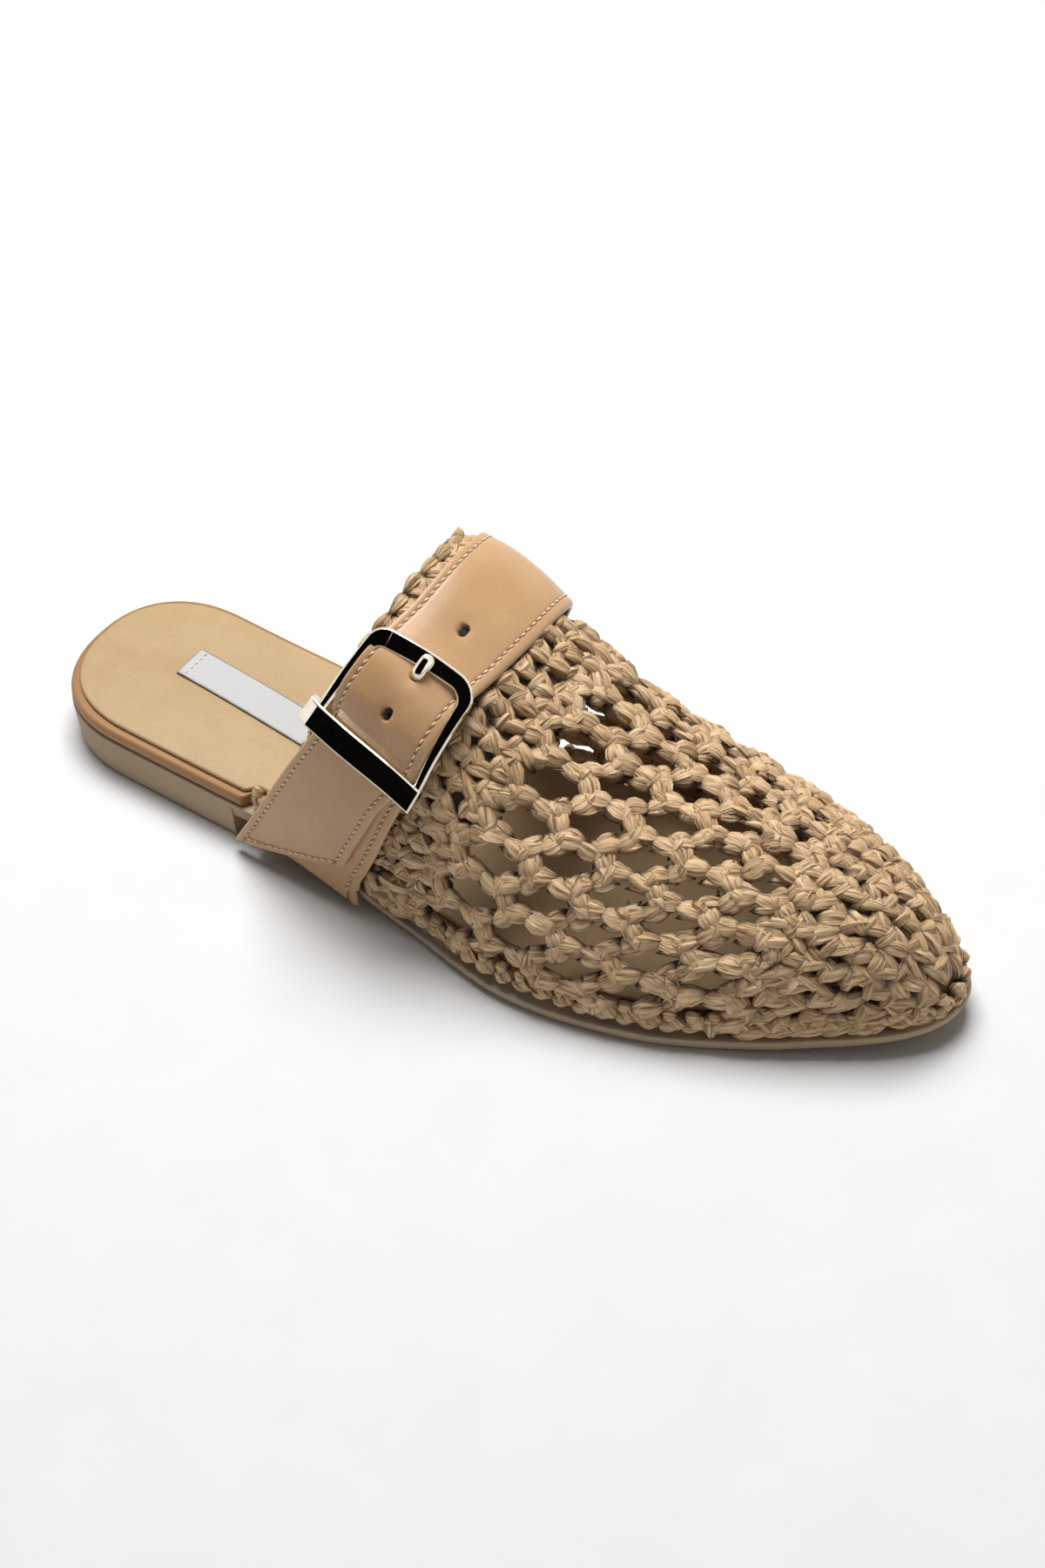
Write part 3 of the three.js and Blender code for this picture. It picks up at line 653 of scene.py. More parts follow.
def make_band():
    """The wrapped edge of the footbed, round like a cord."""
    def levels(along):
        inset, low, high = footbed_inset(along), board_under(along), board_top(along)
        steps = []
        for turn in np.linspace(-90, 90, 11):
            bulge = BOARD_BULGE * (1 - math.cos(math.radians(turn)) ** 0.8)
            steps.append((inset + bulge * 1.3, lerp(low, high, (1 + math.sin(math.radians(turn))) / 2)))
        return steps

    return plate("wrapped_band", footbed_stations(), levels, 2, BAND_LEATHER, 40)


def sock_pad(along, share):
    forward = np.clip(along / SHANK_START, 0, 1)
    return SOCK_PAD * np.sin(np.pi * forward) * (1 - (2 * share - 1) ** 4)


def sock_inset(along):
    return footbed_inset(along) + lerp(SOCK_MARGIN, 0.9, tucked(along))


def sock_top(along):
    return board_top(along) + CLEARANCE + SOCK_THICKNESS


def make_sock():
    def levels(along):
        inset, low = sock_inset(along), board_top(along) + CLEARANCE
        top = low + SOCK_THICKNESS
        return [(inset, low), (inset - 0.05, low + 0.5), (inset + 0.1, top - 0.25),
                (inset + 0.35, top - 0.06), (inset + 0.7, top)]

    return plate("sock_leather_sheet", footbed_stations(), levels, 28, SOCK_LEATHER,
                 crown=sock_pad)


def on_sock(side, forward, up):
    """A point over the sock, from the label's middle line and start."""
    along = LABEL_START + forward
    across = LABEL_SIDE + LABEL_SLANT * forward + side
    outer, inner = edges(along, sock_inset(along) + 0.5)
    rise = sock_pad(along, (across - outer) / (inner - outer))
    return place(across, along, sock_top(along) + rise + CLEARANCE + up)


def make_label():
    """A ribbon whose start is folded under, with a slight lift where the fold is thick."""
    forward = np.linspace(0, LABEL_LENGTH, 88)
    side = np.linspace(-0.5, 0.5, 19) * LABEL_WIDTH
    fold = 3.2
    rings, flat_at, edge_at = [], [], []
    for f in forward:
        lift = 0.12 * smoothstep(f, fold + 0.7, fold - 0.2) if f < fold + 1 else 0.0
        wave = 0.06 * np.sin(f * 0.9 + side * 0.35)
        lip = -0.22 * np.abs(2 * side / LABEL_WIDTH) ** 10
        start = -0.25 * smoothstep(f, 0.8, -0.1)
        top = on_sock(side, f, LABEL_THICKNESS * 0.72 + lift + wave * 0.6 + lip + start)
        under = on_sock(side[::-1], f, -CLEARANCE * 0.6)
        rings.append(np.concatenate([top, under]))
        for row in (side, side[::-1]):
            flat_at += [(s, f, 0.0) for s in row]
            near = np.minimum(LABEL_WIDTH / 2 - np.abs(row), f + 0.12)
            edge_at += list(np.clip(1 - near / 0.3, 0, 1))
    piece = loft("label_ribbon", rings, LABEL)
    point_values(piece, flat=flat_at, edge=edge_at)
    return piece


# Crochet


class Strands:
    """Puffs of folded yarn, or stitches of thread: each goes from start to end and bulges outwards.

    Their ends are pointed and sunk, so that each seems to come out from under its neighbour."""

    def __init__(self, seed):
        self.random = np.random.default_rng(seed)
        self.rows = []

    def add(self, start, end, normal, width, thick, bow=0.5, sink=0.9, side=0.0, twist=35.0, roll=18.0):
        for a, b, n in zip(start, end, normal):
            self.rows.append((*a, *b, *n, width, thick, bow, sink, side, twist, roll))

    def vary(self, count, spread):
        return self.random.normal(0, spread, (count, 3))

    def build(self, name, material, slot, sides=16, rings=8, folds=1.0, sharp=40, taper=1.1):
        rows = np.array(self.rows)
        start, end, normal = rows[:, 0:3], rows[:, 3:6], unit(rows[:, 6:9])
        width, thick, bow, sink, side, twist, roll = (rows[:, k, None, None] for k in range(9, 16))
        count = len(rows)
        draw = self.random.random
        size = 1 + 0.12 * (draw((count, 1, 1)) * 2 - 1)
        t = (1 - np.cos(np.pi * np.arange(rings + 2) / (rings + 1)))[None, :, None] / 2
        hump = np.sin(np.pi * t)
        along = unit(end - start)
        normal = unit(normal - along * (normal * along).sum(-1, keepdims=True))
        flank = np.cross(normal, along)
        lean = draw((count, 1, 1)) * 0.8 - 0.4
        centre = start[:, None] + (end - start)[:, None] * t
        centre = centre + normal[:, None] * (bow * hump - sink * (1 - hump) ** 1.5)
        centre = centre + flank[:, None] * (side * hump)
        turn = np.radians(twist) * (t - 0.5) + np.radians(roll * (draw((count, 1, 1)) * 2 - 1))
        wide_axis = flank[:, None] * np.cos(turn) + normal[:, None] * np.sin(turn)
        high_axis = normal[:, None] * np.cos(turn) - flank[:, None] * np.sin(turn)
        shape = hump**taper * (1 + lean * np.cos(np.pi * t)) * size
        theta = 2 * np.pi * np.arange(sides)[None, None, :] / sides
        valley = np.arange(sides) % 2 == 1
        crease = np.where(valley, -0.05 - 0.18 * draw((count, 1, sides)), 0.07 * draw((count, 1, sides)))
        fade = 0.65 + 0.35 * np.cos(2 * np.pi * (1.2 * t + draw((count, 1, sides))))
        phase = draw((count, 2, 1, 1)) * 2 * np.pi
        swell = 0.1 * np.cos(3 * theta + phase[:, 0]) + 0.05 * np.cos(5 * theta + phase[:, 1])
        ridge = 1 + folds * (crease * fade + swell)
        reach_w = (width / 2 * shape * ridge * np.cos(theta))[..., None]
        reach_h = (thick / 2 * shape * ridge * np.sin(theta))[..., None]
        body = centre[:, :, None] + wide_axis[:, :, None] * reach_w + high_axis[:, :, None] * reach_h
        body = body[:, 1:-1].reshape(count, rings * sides, 3)
        poles = centre[:, [0, -1]]
        points = np.concatenate([body, poles], axis=1)
        each = rings * sides + 2
        faces = []
        for j in range(sides):
            k = (j + 1) % sides
            faces.append((rings * sides, k, j))
            last = (rings - 1) * sides
            faces.append((rings * sides + 1, last + j, last + k))
            for i in range(rings - 1):
                faces.append((i * sides + j, i * sides + k, (i + 1) * sides + k, (i + 1) * sides + j))
        every = [tuple(v + n * each for v in face) for n in range(count) for face in faces]
        piece = make_piece(name, points.reshape(-1, 3), every, material, sharp)
        length = np.linalg.norm(end - start, axis=-1)[:, None, None]
        fibre = np.stack(np.broadcast_arrays(
            np.cos(theta), np.sin(theta), t[:, 1:-1] * length / 3
        ), axis=-1).reshape(count, rings * sides, 3)
        tips = np.zeros((count, 2, 3))
        tips[:, 1, 2] = length[:, 0, 0] / 3
        fibre = np.concatenate([fibre, tips], axis=1) + draw((count, 1, 3)) * 50
        # Painted shade: each strand's flanks and its sunk ends are marked for the material to darken.
        painted_flank_shade = np.exp(-(((np.sin(theta) + 0.15) / 0.4) ** 2)) + 0 * t[:, 1:-1]
        tuck = smoothstep(hump[:, 1:-1], 0.75, 0.25) + 0 * theta
        deep = np.maximum(0.66 * painted_flank_shade, tuck)
        deep = np.broadcast_to(deep, (count, rings, sides)).reshape(count, -1)
        deep = np.concatenate([deep, np.ones((count, 2))], axis=1)
        tone = np.repeat(draw(count), each)
        point_values(piece, fibre=fibre.reshape(-1, 3), tone=tone, deep=deep.ravel())
        return piece


UP = np.array([0.0, 0.0, 1.0])
STITCH = 6.6  # width of a stitch along a dense row
RIM_PITCH = 5.6
RIM_ANGLE = 2.6
COLLAR_PITCH = 7.4
WALL_LOW = 0.5  # of the wall behind the dense rows, outside the last
WALL_HIGH = 1.3
FACE = 1.9  # where the middle of the yarn runs, outside the last
NET_EDGE = NET_START - NET_PITCH / 2
NET_END = NET_START + (NET_ROWS - 0.5) * NET_PITCH


def under_strap(share, angle, margin=0.0):
    """1 where the strap presses on the crochet."""
    along = shell_along(share, angle, FACE)
    behind = along - turned(STRAP_REAR, angle) + margin
    ahead = strap_front(angle) + margin - along
    return (behind > 0) & (ahead > 0)


def spread(share, pitch, shift):
    """Angles of stitches with a pitch in millimetres across the upper, and their step."""
    angle = np.linspace(0, 180, 121)
    length = lengths(shell(share, angle, FACE))
    count = max(int(round(length[-1] / pitch)), 1)
    at = np.interp((np.arange(count) + 0.5 + shift) / count * length[-1], length, angle)
    return np.clip(at, 1.5, 178.5), np.gradient(at) if count > 1 else np.full(1, 60.0)


def dense_row(strands, share, pitch_share, shift, low, high):
    """A row of V stitches across the upper, with the bars that the next row is worked into."""
    angle, step = spread(share, STITCH, shift)
    used = (low <= angle) & (angle < high)
    angle, step = angle[used], step[used]
    if not len(angle):
        return
    count = len(angle)
    noise = strands.random.normal(0, 1, (6, count))
    pressed = under_strap(share, angle, 1.0)
    out = FACE - 0.9 * pressed + 0.25 * noise[0]

    def at(ahead, aside, raised=0.0):
        """A point of the row, at shares of its pitch ahead and of a stitch aside."""
        where = np.clip(share + ahead * pitch_share, 0.004, 0.996)
        return shell(where, np.clip(angle + aside * step, 0.5, 179.5), out + raised)

    normal = shell_normal(share, angle, FACE) + strands.vary(count, 0.13)
    leaves = [  # start, end, width and sideways bend of the two legs and the bar
        (at(-0.95 + 0.2 * noise[1], -0.5 + 0.1 * noise[3]),
         at(0.95, 0.3 + 0.22 * noise[2], -0.3), 4.5, 0.5),
        (at(-0.9, 0.55 + 0.18 * noise[3], -0.3),
         at(0.8 + 0.2 * noise[4], -0.2, -0.6), 4.1, -0.4),
        (at(-0.55 + 0.2 * noise[5], -0.75, -0.4),
         at(-0.35, 0.6, 0.1), 3.4, 0.0),
    ]
    for flat_down in (False, True):
        here = pressed == flat_down
        if not here.any():
            continue
        thick = 2.2 if flat_down else 3.9
        bow = 0.1 if flat_down else 0.85
        for start, end, width, side in leaves:
            strands.add(start[here], end[here], normal[here], width, thick, bow, side=side)


def chain(strands, a, b, normal, size=1.0):
    """A crocheted chain: two long puffs laid over each other, with a narrow one on each side."""
    run = b - a
    flank = np.cross(normal, unit(run))
    count = len(a)
    for turn, t0, t1 in ((1, -0.4, 0.76), (-1, 0.24, 1.38)):
        start = a + run * t0 - flank * turn * size + strands.vary(count, 0.35)
        end = a + run * t1 + flank * turn * size + strands.vary(count, 0.35)
        tilted = normal + strands.vary(count, 0.2)
        strands.add(start, end, tilted, 4.9 * size, 3.1 * size, 0.45, side=0.5 * turn)
        start = a + run * (t0 + 0.12) + flank * 2.3 * turn * size + strands.vary(count, 0.3)
        end = a + run * (t1 - 0.1) + flank * 1.1 * turn * size
        strands.add(start, end, normal + strands.vary(count, 0.25), 3.3 * size, 3.0 * size, 0.0, side=0.2)


def net_cells():
    for row in range(NET_ROWS):
        for k in range(-1, 15):
            angle = GAP_FIRST + GAP_DRIFT * row + GAP_PITCH * k
            if -8 < angle < 188:
                yield row, NET_START + NET_PITCH * row, angle


def make_net():
    """Chains along the borders of the net's cells, with short posts where the arches are joined.

    On the inner side, behind the strap, a loose loop crosses each cell."""
    outer_half, inner_half = Strands(11), Strands(12)
    steps = [
        (0, GAP_PITCH),
        (NET_PITCH, GAP_DRIFT + GAP_PITCH),
        (NET_PITCH, GAP_DRIFT),
        (0, -GAP_PITCH),
        (-NET_PITCH, -GAP_DRIFT - GAP_PITCH),
        (-NET_PITCH, -GAP_DRIFT),
    ]
    corners = [
        ((steps[i][0] + steps[(i + 1) % 6][0]) / 3, (steps[i][1] + steps[(i + 1) % 6][1]) / 3)
        for i in range(6)
    ]
    borders = {"same_row": [], "arch": [], "post": []}
    knots = {}
    for row, share, angle in net_cells():
        sides = [(5, 0, "same_row"), (1, 2, "arch"), (0, 1, "post")]
        if row == 0:
            sides += [(3, 4, "post"), (4, 5, "arch")]
        for i, j, kind in sides:
            ends = [(share + corners[k][0], angle + corners[k][1]) for k in (i, j)]
            if all(2.0 < a < 178.0 for _, a in ends):
                borders[kind].append(ends)
                for end in ends:
                    knots[round(end[0], 3), round(end[1], 1)] = end
    for strands, low, high, size in (  # angles from low to high, with the yarn's size there
        (outer_half, -10, 80, 1.08), (inner_half, 80, 140, 1.24), (inner_half, 140, 190, 1.45)
    ):
        for kind, ends in borders.items():
            ends = np.array([e for e in ends if low <= (e[0][1] + e[1][1]) / 2 < high])
            shake = strands.random.normal(0, 0.15, (2, len(ends)))
            a = shell(ends[:, 0, 0], ends[:, 0, 1], FACE + shake[0])
            b = shell(ends[:, 1, 0], ends[:, 1, 1], FACE + shake[1])
            normal = shell_normal(ends[:, :, 0].mean(1), ends[:, :, 1].mean(1), FACE)
            if kind != "post":
                chain(strands, a, b, normal, size)
                continue
            run = b - a
            flank = np.cross(normal, unit(run))
            strands.add(a - run * 0.35 - flank * 0.6, b + run * 0.35 + flank * 0.5, normal, 5.0, 4.2, 0.5)
            strands.add(a - run * 0.25 + flank * 2.0, b + flank * 1.2 + run * 0.3, normal, 3.6, 3.6, 0.1)
        tied = np.array([k for k in knots.values() if low <= k[1] < high])
        at = shell(tied[:, 0], tied[:, 1], FACE + 0.2)
        normal = shell_normal(tied[:, 0], tied[:, 1], FACE) + strands.vary(len(tied), 0.15)
        forward = unit(shell(tied[:, 0] + 0.01, tied[:, 1], FACE) - at)
        aside = np.cross(normal, forward)
        lean = strands.random.normal(0, 0.35, (len(tied), 1))
        slanted = aside * 4.2 + forward * lean
        strands.add(at - slanted, at + slanted, normal, 4.0, 3.6, 0.4)
        start, end = at - forward * 4.2 + aside * 1.4, at + forward * 3.8 - aside * (0.8 + lean)
        strands.add(start, end, normal, 3.8, 3.6, 0.3)
    crossed = np.array([cell[1:] for cell in net_cells() if cell[0] < 3 and 145 < cell[2] < 176])
    share, angle = crossed.T
    start, end = (shell(share + 0.048 * t, angle - 3 * t, FACE - 0.4) for t in (-1, 1))
    inner_half.add(start, end, shell_normal(share, angle, FACE), 5.4, 3.4, 0.3)
    outer_half.build("crochet_net_outer", RAFFIA, "upper")
    inner_half.build("crochet_net_inner", RAFFIA, "upper")


def make_dense():
    """The dense rows: behind and under the strap, in front of it, and at the toe."""
    rows = int(round(NET_EDGE / DENSE_PITCH))
    for name, seed, low, high, count, first, last, offset in (
        ("crochet_instep_outer", 21, -1, 88, rows, 0.0, NET_EDGE, 0.5),
        ("crochet_instep_inner", 22, 88, 181, rows, 0.0, NET_EDGE, 0.5),
        ("crochet_toe", 23, -1, 181, TOE_ROWS, NET_END, 1.0, 0.35),
    ):
        strands = Strands(seed)
        pitch = (last - first) / count
        for i in range(count):
            dense_row(strands, first + pitch * (i + offset), pitch, 0.25 * (-1) ** i, low, high)
        strands.build(name, RAFFIA, "upper", taper=0.7)


def rim_line(angle):
    share = np.concatenate([np.linspace(-0.012, 0.97, 160), np.linspace(0.971, 0.999, 30)])
    return shell(share, angle, FACE + 0.3)


def make_rim():
    """Stitches that run along the sole's edge, from the collar round the toe."""
    strands = Strands(31)
    line = np.concatenate([rim_line(RIM_ANGLE), rim_line(180 - RIM_ANGLE)[::-1]])
    length = lengths(line)
    count = int(length[-1] / RIM_PITCH)
    at = (np.arange(count) + 0.5) / count * length[-1]
    centre = pick(at, length, line)
    ahead = unit(pick(at + 1.5, length, line) - pick(at - 1.5, length, line))
    outward = unit(np.cross(ahead, UP))
    outward *= np.sign(((centre - line.mean(0)) * outward).sum(-1, keepdims=True))
    normal = outward + 0.35 * UP + strands.vary(count, 0.12)
    slip = strands.random.normal(0, 0.4, (count, 1))
    for back, rise, out, front, end_rise, width, thick, bow in (
        (4.2 + slip, 0.2, 0.0, 3.6, 1.6, 4.0, 3.4, 0.3),
        (1.6, 5.0, 0.0, 3.8 + slip, -0.3, 4.2, 3.4, 0.4),
        (3.0, 4.2, 0.2, 2.2, 4.6, 3.6, 3.2, 0.3),
    ):
        start = centre - ahead * back + UP * rise + outward * out
        strands.add(start, centre + ahead * front + UP * end_rise, normal, width, thick, bow)
    return strands.build("crochet_rim", RAFFIA, "upper")


def make_collar():
    """Scalloped shells of yarn that stand out behind the strap."""
    strands = Strands(41)
    angle, step = spread(0.0, COLLAR_PITCH, 0.0)
    count = len(angle)
    for fan, reach in ((-0.45, 0.0), (0.0, 0.006), (0.45, 0.0)):
        root = shell(0.042, np.clip(angle + 0.2 * fan * step, 1, 179), FACE - 0.4)
        tip = shell(0.008 - reach, np.clip(angle + fan * step, 1, 179), FACE - 0.1)
        normal = shell_normal(0.02, angle, FACE) + strands.vary(count, 0.15)
        strands.add(root, tip, normal, 3.6, 2.9, 0.4, sink=0.4)
    a = shell(0.011, np.clip(angle - 0.55 * step, 1, 179), FACE - 0.6)
    b = shell(0.011, np.clip(angle + 0.55 * step, 1, 179), FACE - 0.6)
    back = unit(shell(-0.03, angle, FACE) - shell(0.0, angle, FACE))
    strands.add(a, b, back + strands.vary(count, 0.1), 3.2, 2.9, 1.2, sink=0.3)
    return strands.build("crochet_collar", RAFFIA, "upper")


def make_backing(name, first, last):
    """Thin inner wall of yarn behind a dense region, between two shares of the upper, in the dark material
    of painted shade.
    """
    angles = np.linspace(0.5, 179.5, 73)
    rings = [
        np.concatenate([shell(share, angles, WALL_HIGH), shell(share, angles[::-1], WALL_LOW)])
        for share in np.linspace(first, last, 26)
    ]
    return loft(name, rings, PAINTED_SHADE_BACKING)


# Strap


BASE_OUT = WALL + RIDGE * PRESSED + STRAP_ROOM
OVER_BASE = BASE_OUT + BASE_THICKNESS + CLEARANCE
BAR_OUT = OVER_BASE + BAR_RADIUS
EYE_RADIUS = BAR_RADIUS + 0.25 + EYE_THICKNESS
OVER_BAR = BAR_OUT + EYE_RADIUS + CLEARANCE
STITCH_LINE = 2.5  # distance of the thread from the leather's edge
STRAP_CROWN = 0.35  # extra thickness of the padded middle
GROOVE_DEPTH = 0.28
GROOVE_WIDTH = 0.42
SEAM_WIDTH = 0.3
RISE_BEHIND = 76.0  # angles from which the strap rises to the hidden bar, on both sides of it
RISE_AHEAD = 37.0
HOLE_DEPTH = 1.7
DIP_DEPTH = 0.25  # of the leather pressed down round a hole
DEGREE = 1.35  # length of one degree along the strap at its free end
SLANT_CURVE = 1.7


def strap_out(angle):
    """Underside of the strap: on the crochet, up over the hidden bar, then down on its base."""
    behind = lerp(BASE_OUT, OVER_BAR, 1 - smoothstep(angle, BAR_ANGLE + 2, RISE_BEHIND))
    ahead = lerp(OVER_BASE, OVER_BAR, smoothstep(angle, RISE_AHEAD, BAR_ANGLE - 2))
    return np.where(np.asarray(angle) > BAR_ANGLE, behind, ahead)


def on_strap(share, angle, out):
    share, angle, out = floats(share, angle, out)
    return skin(lerp(turned(STRAP_REAR, angle), strap_front(angle), share), angle, out)


def strap_edges(angle):
    """Edges of the strap, shares of its width. Below the sole's edge they turn back with the last."""
    above, below = np.maximum(angle, 0), np.minimum(angle, 0)
    buckle = smoothstep(angle, 18, 36) - smoothstep(angle, 62, 96)
    corner = 0.038 * np.exp(-above / 1.5) + 0.028 * below
    rear = corner - 0.028 * (1 - smoothstep(angle, 6, 26)) + 0.045 * buckle
    front = 0.745 + 0.05 * np.exp(-above / 1.5) + 0.02 * below
    front = lerp(front, lerp(0.775, 0.955, smoothstep(angle, 20, 44)), smoothstep(angle, 10, 22))
    return rear, lerp(front, 1, smoothstep(angle, 60, 90))


def leather_section(width, thickness, crown):
    """Points round a leather band, as (distance from its rear edge, height), with rounded edges.

    The stitch lines are pressed in. Also says which points are on a cut edge or in a stitch line."""
    turn = np.radians(np.linspace(-90, 90, 7))
    radius = min(0.75, thickness / 2)
    edge = [(radius * (1 - math.cos(t)), thickness / 2 + thickness / 2 * math.sin(t)) for t in turn]
    near = [1.2, 1.7, 2.05, 2.3, STITCH_LINE, 2.7, 2.95, 3.4, 4.2, 5.0]
    across = np.array([*near, *np.linspace(6, width - 6, 28), *(width - d for d in reversed(near))])
    from_edge = np.minimum(across, width - across)
    groove = GROOVE_DEPTH * peak(from_edge, STITCH_LINE, GROOVE_WIDTH)
    swell = crown * smoothstep(from_edge, 0.8, 9.0)
    top = np.stack([across, thickness + swell - groove], axis=-1)
    mirrored = [(width - d, h) for d, h in reversed(edge)]
    under = [(d, 0.0) for d in np.linspace(width - 2, 2, 10)]
    ring = np.array([*edge, *top, *mirrored, *under])
    cut = np.zeros(len(ring))
    cut[: len(edge) - 1] = 1
    cut[len(edge) + len(top) + 1 : len(edge) * 2 + len(top)] = 1
    from_edge = np.minimum(ring[:, 0], width - ring[:, 0])
    seam = peak(from_edge, STITCH_LINE, SEAM_WIDTH) * (ring[:, 1] > thickness * 0.6)
    return ring, cut, seam


def hole_depth(points, centres, runs):
    """How far leather dips at its punched holes, long ovals along the strap, and how near one is."""
    near = []
    for centre, run in zip(centres, runs):
        away = points - centre
        ahead = (away * run).sum(-1)
        near.append(np.sqrt(np.maximum((away**2).sum(-1) - 0.45 * ahead**2, 0)))
    near = np.min(near, axis=0)
    hole, dip = 1 - smoothstep(near, 1.0, 1.6), 1 - smoothstep(near, 1.2, 3.8)
    return HOLE_DEPTH * hole + DIP_DEPTH * dip, near


def free_end(distance, share):
    """Angles at a distance in millimetres from the slanted free end."""
    return FREE_END + SLANT * np.clip(share, 0, 1) ** SLANT_CURVE + distance / DEGREE


def make_strap():
    ring, cut, seam = leather_section(STRAP_WIDTH, STRAP_THICKNESS, STRAP_CROWN)
    share_across, height = ring[:, 0] / STRAP_WIDTH, ring[:, 1]
    on_top = height > STRAP_THICKNESS * 0.85
    from_side = np.minimum(ring[:, 0], STRAP_WIDTH - ring[:, 0])
    inside = smoothstep(from_side, 1.6, 2.6)
    centres = [on_strap(PRONG_SIDE, a, strap_out(a) + STRAP_THICKNESS) for a in HOLE_ANGLES]
    ahead = [on_strap(PRONG_SIDE, a + 1, strap_out(a + 1) + STRAP_THICKNESS) for a in HOLE_ANGLES]
    runs = [unit(b - a) for a, b in zip(centres, ahead)]
    rings, holes, edge, seams = [], [], [], []

    def station(angle, thin, press, sewn, end):
        rear, front = strap_edges(angle)
        across = lerp(rear, front, share_across)
        out = strap_out(angle) + height * thin - press * on_top
        dip, near = hole_depth(on_strap(across, angle, out), centres, runs)
        rings.append(on_strap(across, angle, out - dip * on_top))
        # Where the material paints the shade inside the holes.
        holes.append((1 - smoothstep(near, 1.15, 1.6)) * on_top)
        seams.append(np.maximum(seam, sewn * inside * on_top))
        edge.append(np.maximum(cut, end) * 0.8)

    for distance in (0, 0.25, 0.7, 1.4, 2.0, 2.3, STITCH_LINE, 2.7, 3.0, 3.6, 4.4):
        sewn = peak(distance, STITCH_LINE, SEAM_WIDTH)
        press = GROOVE_DEPTH * peak(distance, STITCH_LINE, GROOVE_WIDTH) * inside
        thin = 1 - 0.35 * (1 - smoothstep(distance, 0, 0.8))
        station(free_end(distance, share_across), thin, press, sewn, float(distance < 0.5))
    start = free_end(5.2, share_across)
    for angle in np.linspace(0, 20, 18)[:-1]:
        level = lerp(start, 20.0, angle / 20)
        station(lerp(level, np.maximum(angle, start), smoothstep(angle, 12, 20)), 1.0, 0.0, 0.0, 0.0)
    near_holes = [np.linspace(a - 3.4, a + 3.4, 17) for a in HOLE_ANGLES]
    for angle in np.unique(np.concatenate([np.linspace(20, STRAP_END - 0.3, 136), *near_holes])):
        station(np.full_like(start, angle), 1.0, 0.0, 0.0, 0.0)
    piece = loft("strap_leather_band", rings, STRAP_LEATHER, 55)
    point_values(piece, hole=np.concatenate(holes), edge=np.concatenate(edge), seam=np.concatenate(seams))
    return piece


def base_edges(angle):
    rear = 0.02 + 0.06 * smoothstep(angle, 20, 34)
    front = lerp(0.97, 0.905, smoothstep(angle, -1, 4)) + 0.02 * smoothstep(angle, 20, 34)
    return rear, front


def make_base():
    ring, cut, seam = leather_section(STRAP_WIDTH, BASE_THICKNESS, 0.1)
    share_across, height = ring[:, 0] / STRAP_WIDTH, ring[:, 1]
    rings = []
    for angle in np.linspace(-3.2, BAR_ANGLE - 1, 70):
        rear, front = base_edges(angle)
        rings.append(on_strap(lerp(rear, front, share_across), angle, BASE_OUT + height))
    piece = loft("strap_base_leather", rings, STRAP_LEATHER, 55)
    cut, seam = np.tile(cut, len(rings)), np.tile(seam, len(rings))
    point_values(piece, hole=np.zeros(len(cut)), edge=cut * 0.8, seam=seam)
    return piece


def sew(strands, line, normals, pitch, length, thickness, slant=0.12):
    """Stitches of a pitch and length along a line, a little slanted to it."""
    total = lengths(line)
    at = (np.arange(int(total[-1] / pitch)) + 0.5) * pitch
    normal = unit(pick(at, total, normals))
    start, end = pick(at - length / 2, total, line), pick(at + length / 2, total, line)
    flank = np.cross(normal, unit(end - start)) * length * slant
    strands.add(start + flank, end - flank, normal, thickness, thickness, 0.12, 0.3, twist=0, roll=0)


def strap_line(share_of, angles, out_of):
    line = on_strap(share_of(angles), angles, out_of(angles))
    above = on_strap(share_of(angles), angles, out_of(angles) + 1)
    return line, unit(above - line)


def make_strap_thread():
    strands = Strands(51)
    inset = STITCH_LINE / STRAP_WIDTH

    def stitch(line, normals):
        sew(strands, line, normals, 2.5, 2.2, 0.6)

    def top(angle):
        return strap_out(angle) + STRAP_THICKNESS - 0.1

    for front in (False, True):
        def share_of(angle, front=front):
            rear_edge, front_edge = strap_edges(angle)
            width = front_edge - rear_edge
            return front_edge - inset * width if front else rear_edge + inset * width

        start = free_end(STITCH_LINE, 1 - inset if front else inset)
        stitch(*strap_line(share_of, np.linspace(start, STRAP_END - 1, 600), top))
    across = np.linspace(inset, 1 - inset, 60)
    angle = free_end(STITCH_LINE, across)
    rear, front = strap_edges(angle)
    share = lerp(rear, front, across)
    crown = STRAP_CROWN * smoothstep(np.minimum(across, 1 - across) * STRAP_WIDTH, 0.8, 9.0)
    line = on_strap(share, angle, top(angle) + crown)
    stitch(line, unit(on_strap(share, angle, top(angle) + 2) - line))

    def base_share(angle):
        rear_edge, front_edge = base_edges(angle)
        return front_edge - inset * (front_edge - rear_edge)

    def base_top(angle):
        return BASE_OUT + BASE_THICKNESS - 0.1 + 0 * angle

    stitch(*strap_line(base_share, np.linspace(-1.5, BAR_ANGLE - 2, 200), base_top))
    return strands.build("strap_stitches", STRAP_THREAD, "strap", 8, 5, 0.3, None)


def make_label_thread():
    strands = Strands(52)
    side = np.linspace(-0.5, 0.5, 20) * (LABEL_WIDTH - 1)
    line = on_sock(side, 2.6 + 0 * side, LABEL_THICKNESS * 0.72 + 0.2)
    normals = np.tile([0.0, 0.0, 1.0], (len(side), 1))
    sew(strands, line, normals, 2.1, 1.6, 0.55, 0.05)
    return strands.build("label_stitches", LABEL_THREAD, "label", 8, 5, 0.3, None)


# Buckle


def strap_scale():
    """Length along the strap's middle for each angle."""
    angle = np.linspace(20, 85, 400)
    return angle, lengths(on_strap(0.5, angle, OVER_BAR + STRAP_THICKNESS))


SCALE_ANGLE, SCALE_LENGTH = strap_scale()


def run_of(angle):
    return np.interp(angle, SCALE_ANGLE, SCALE_LENGTH)


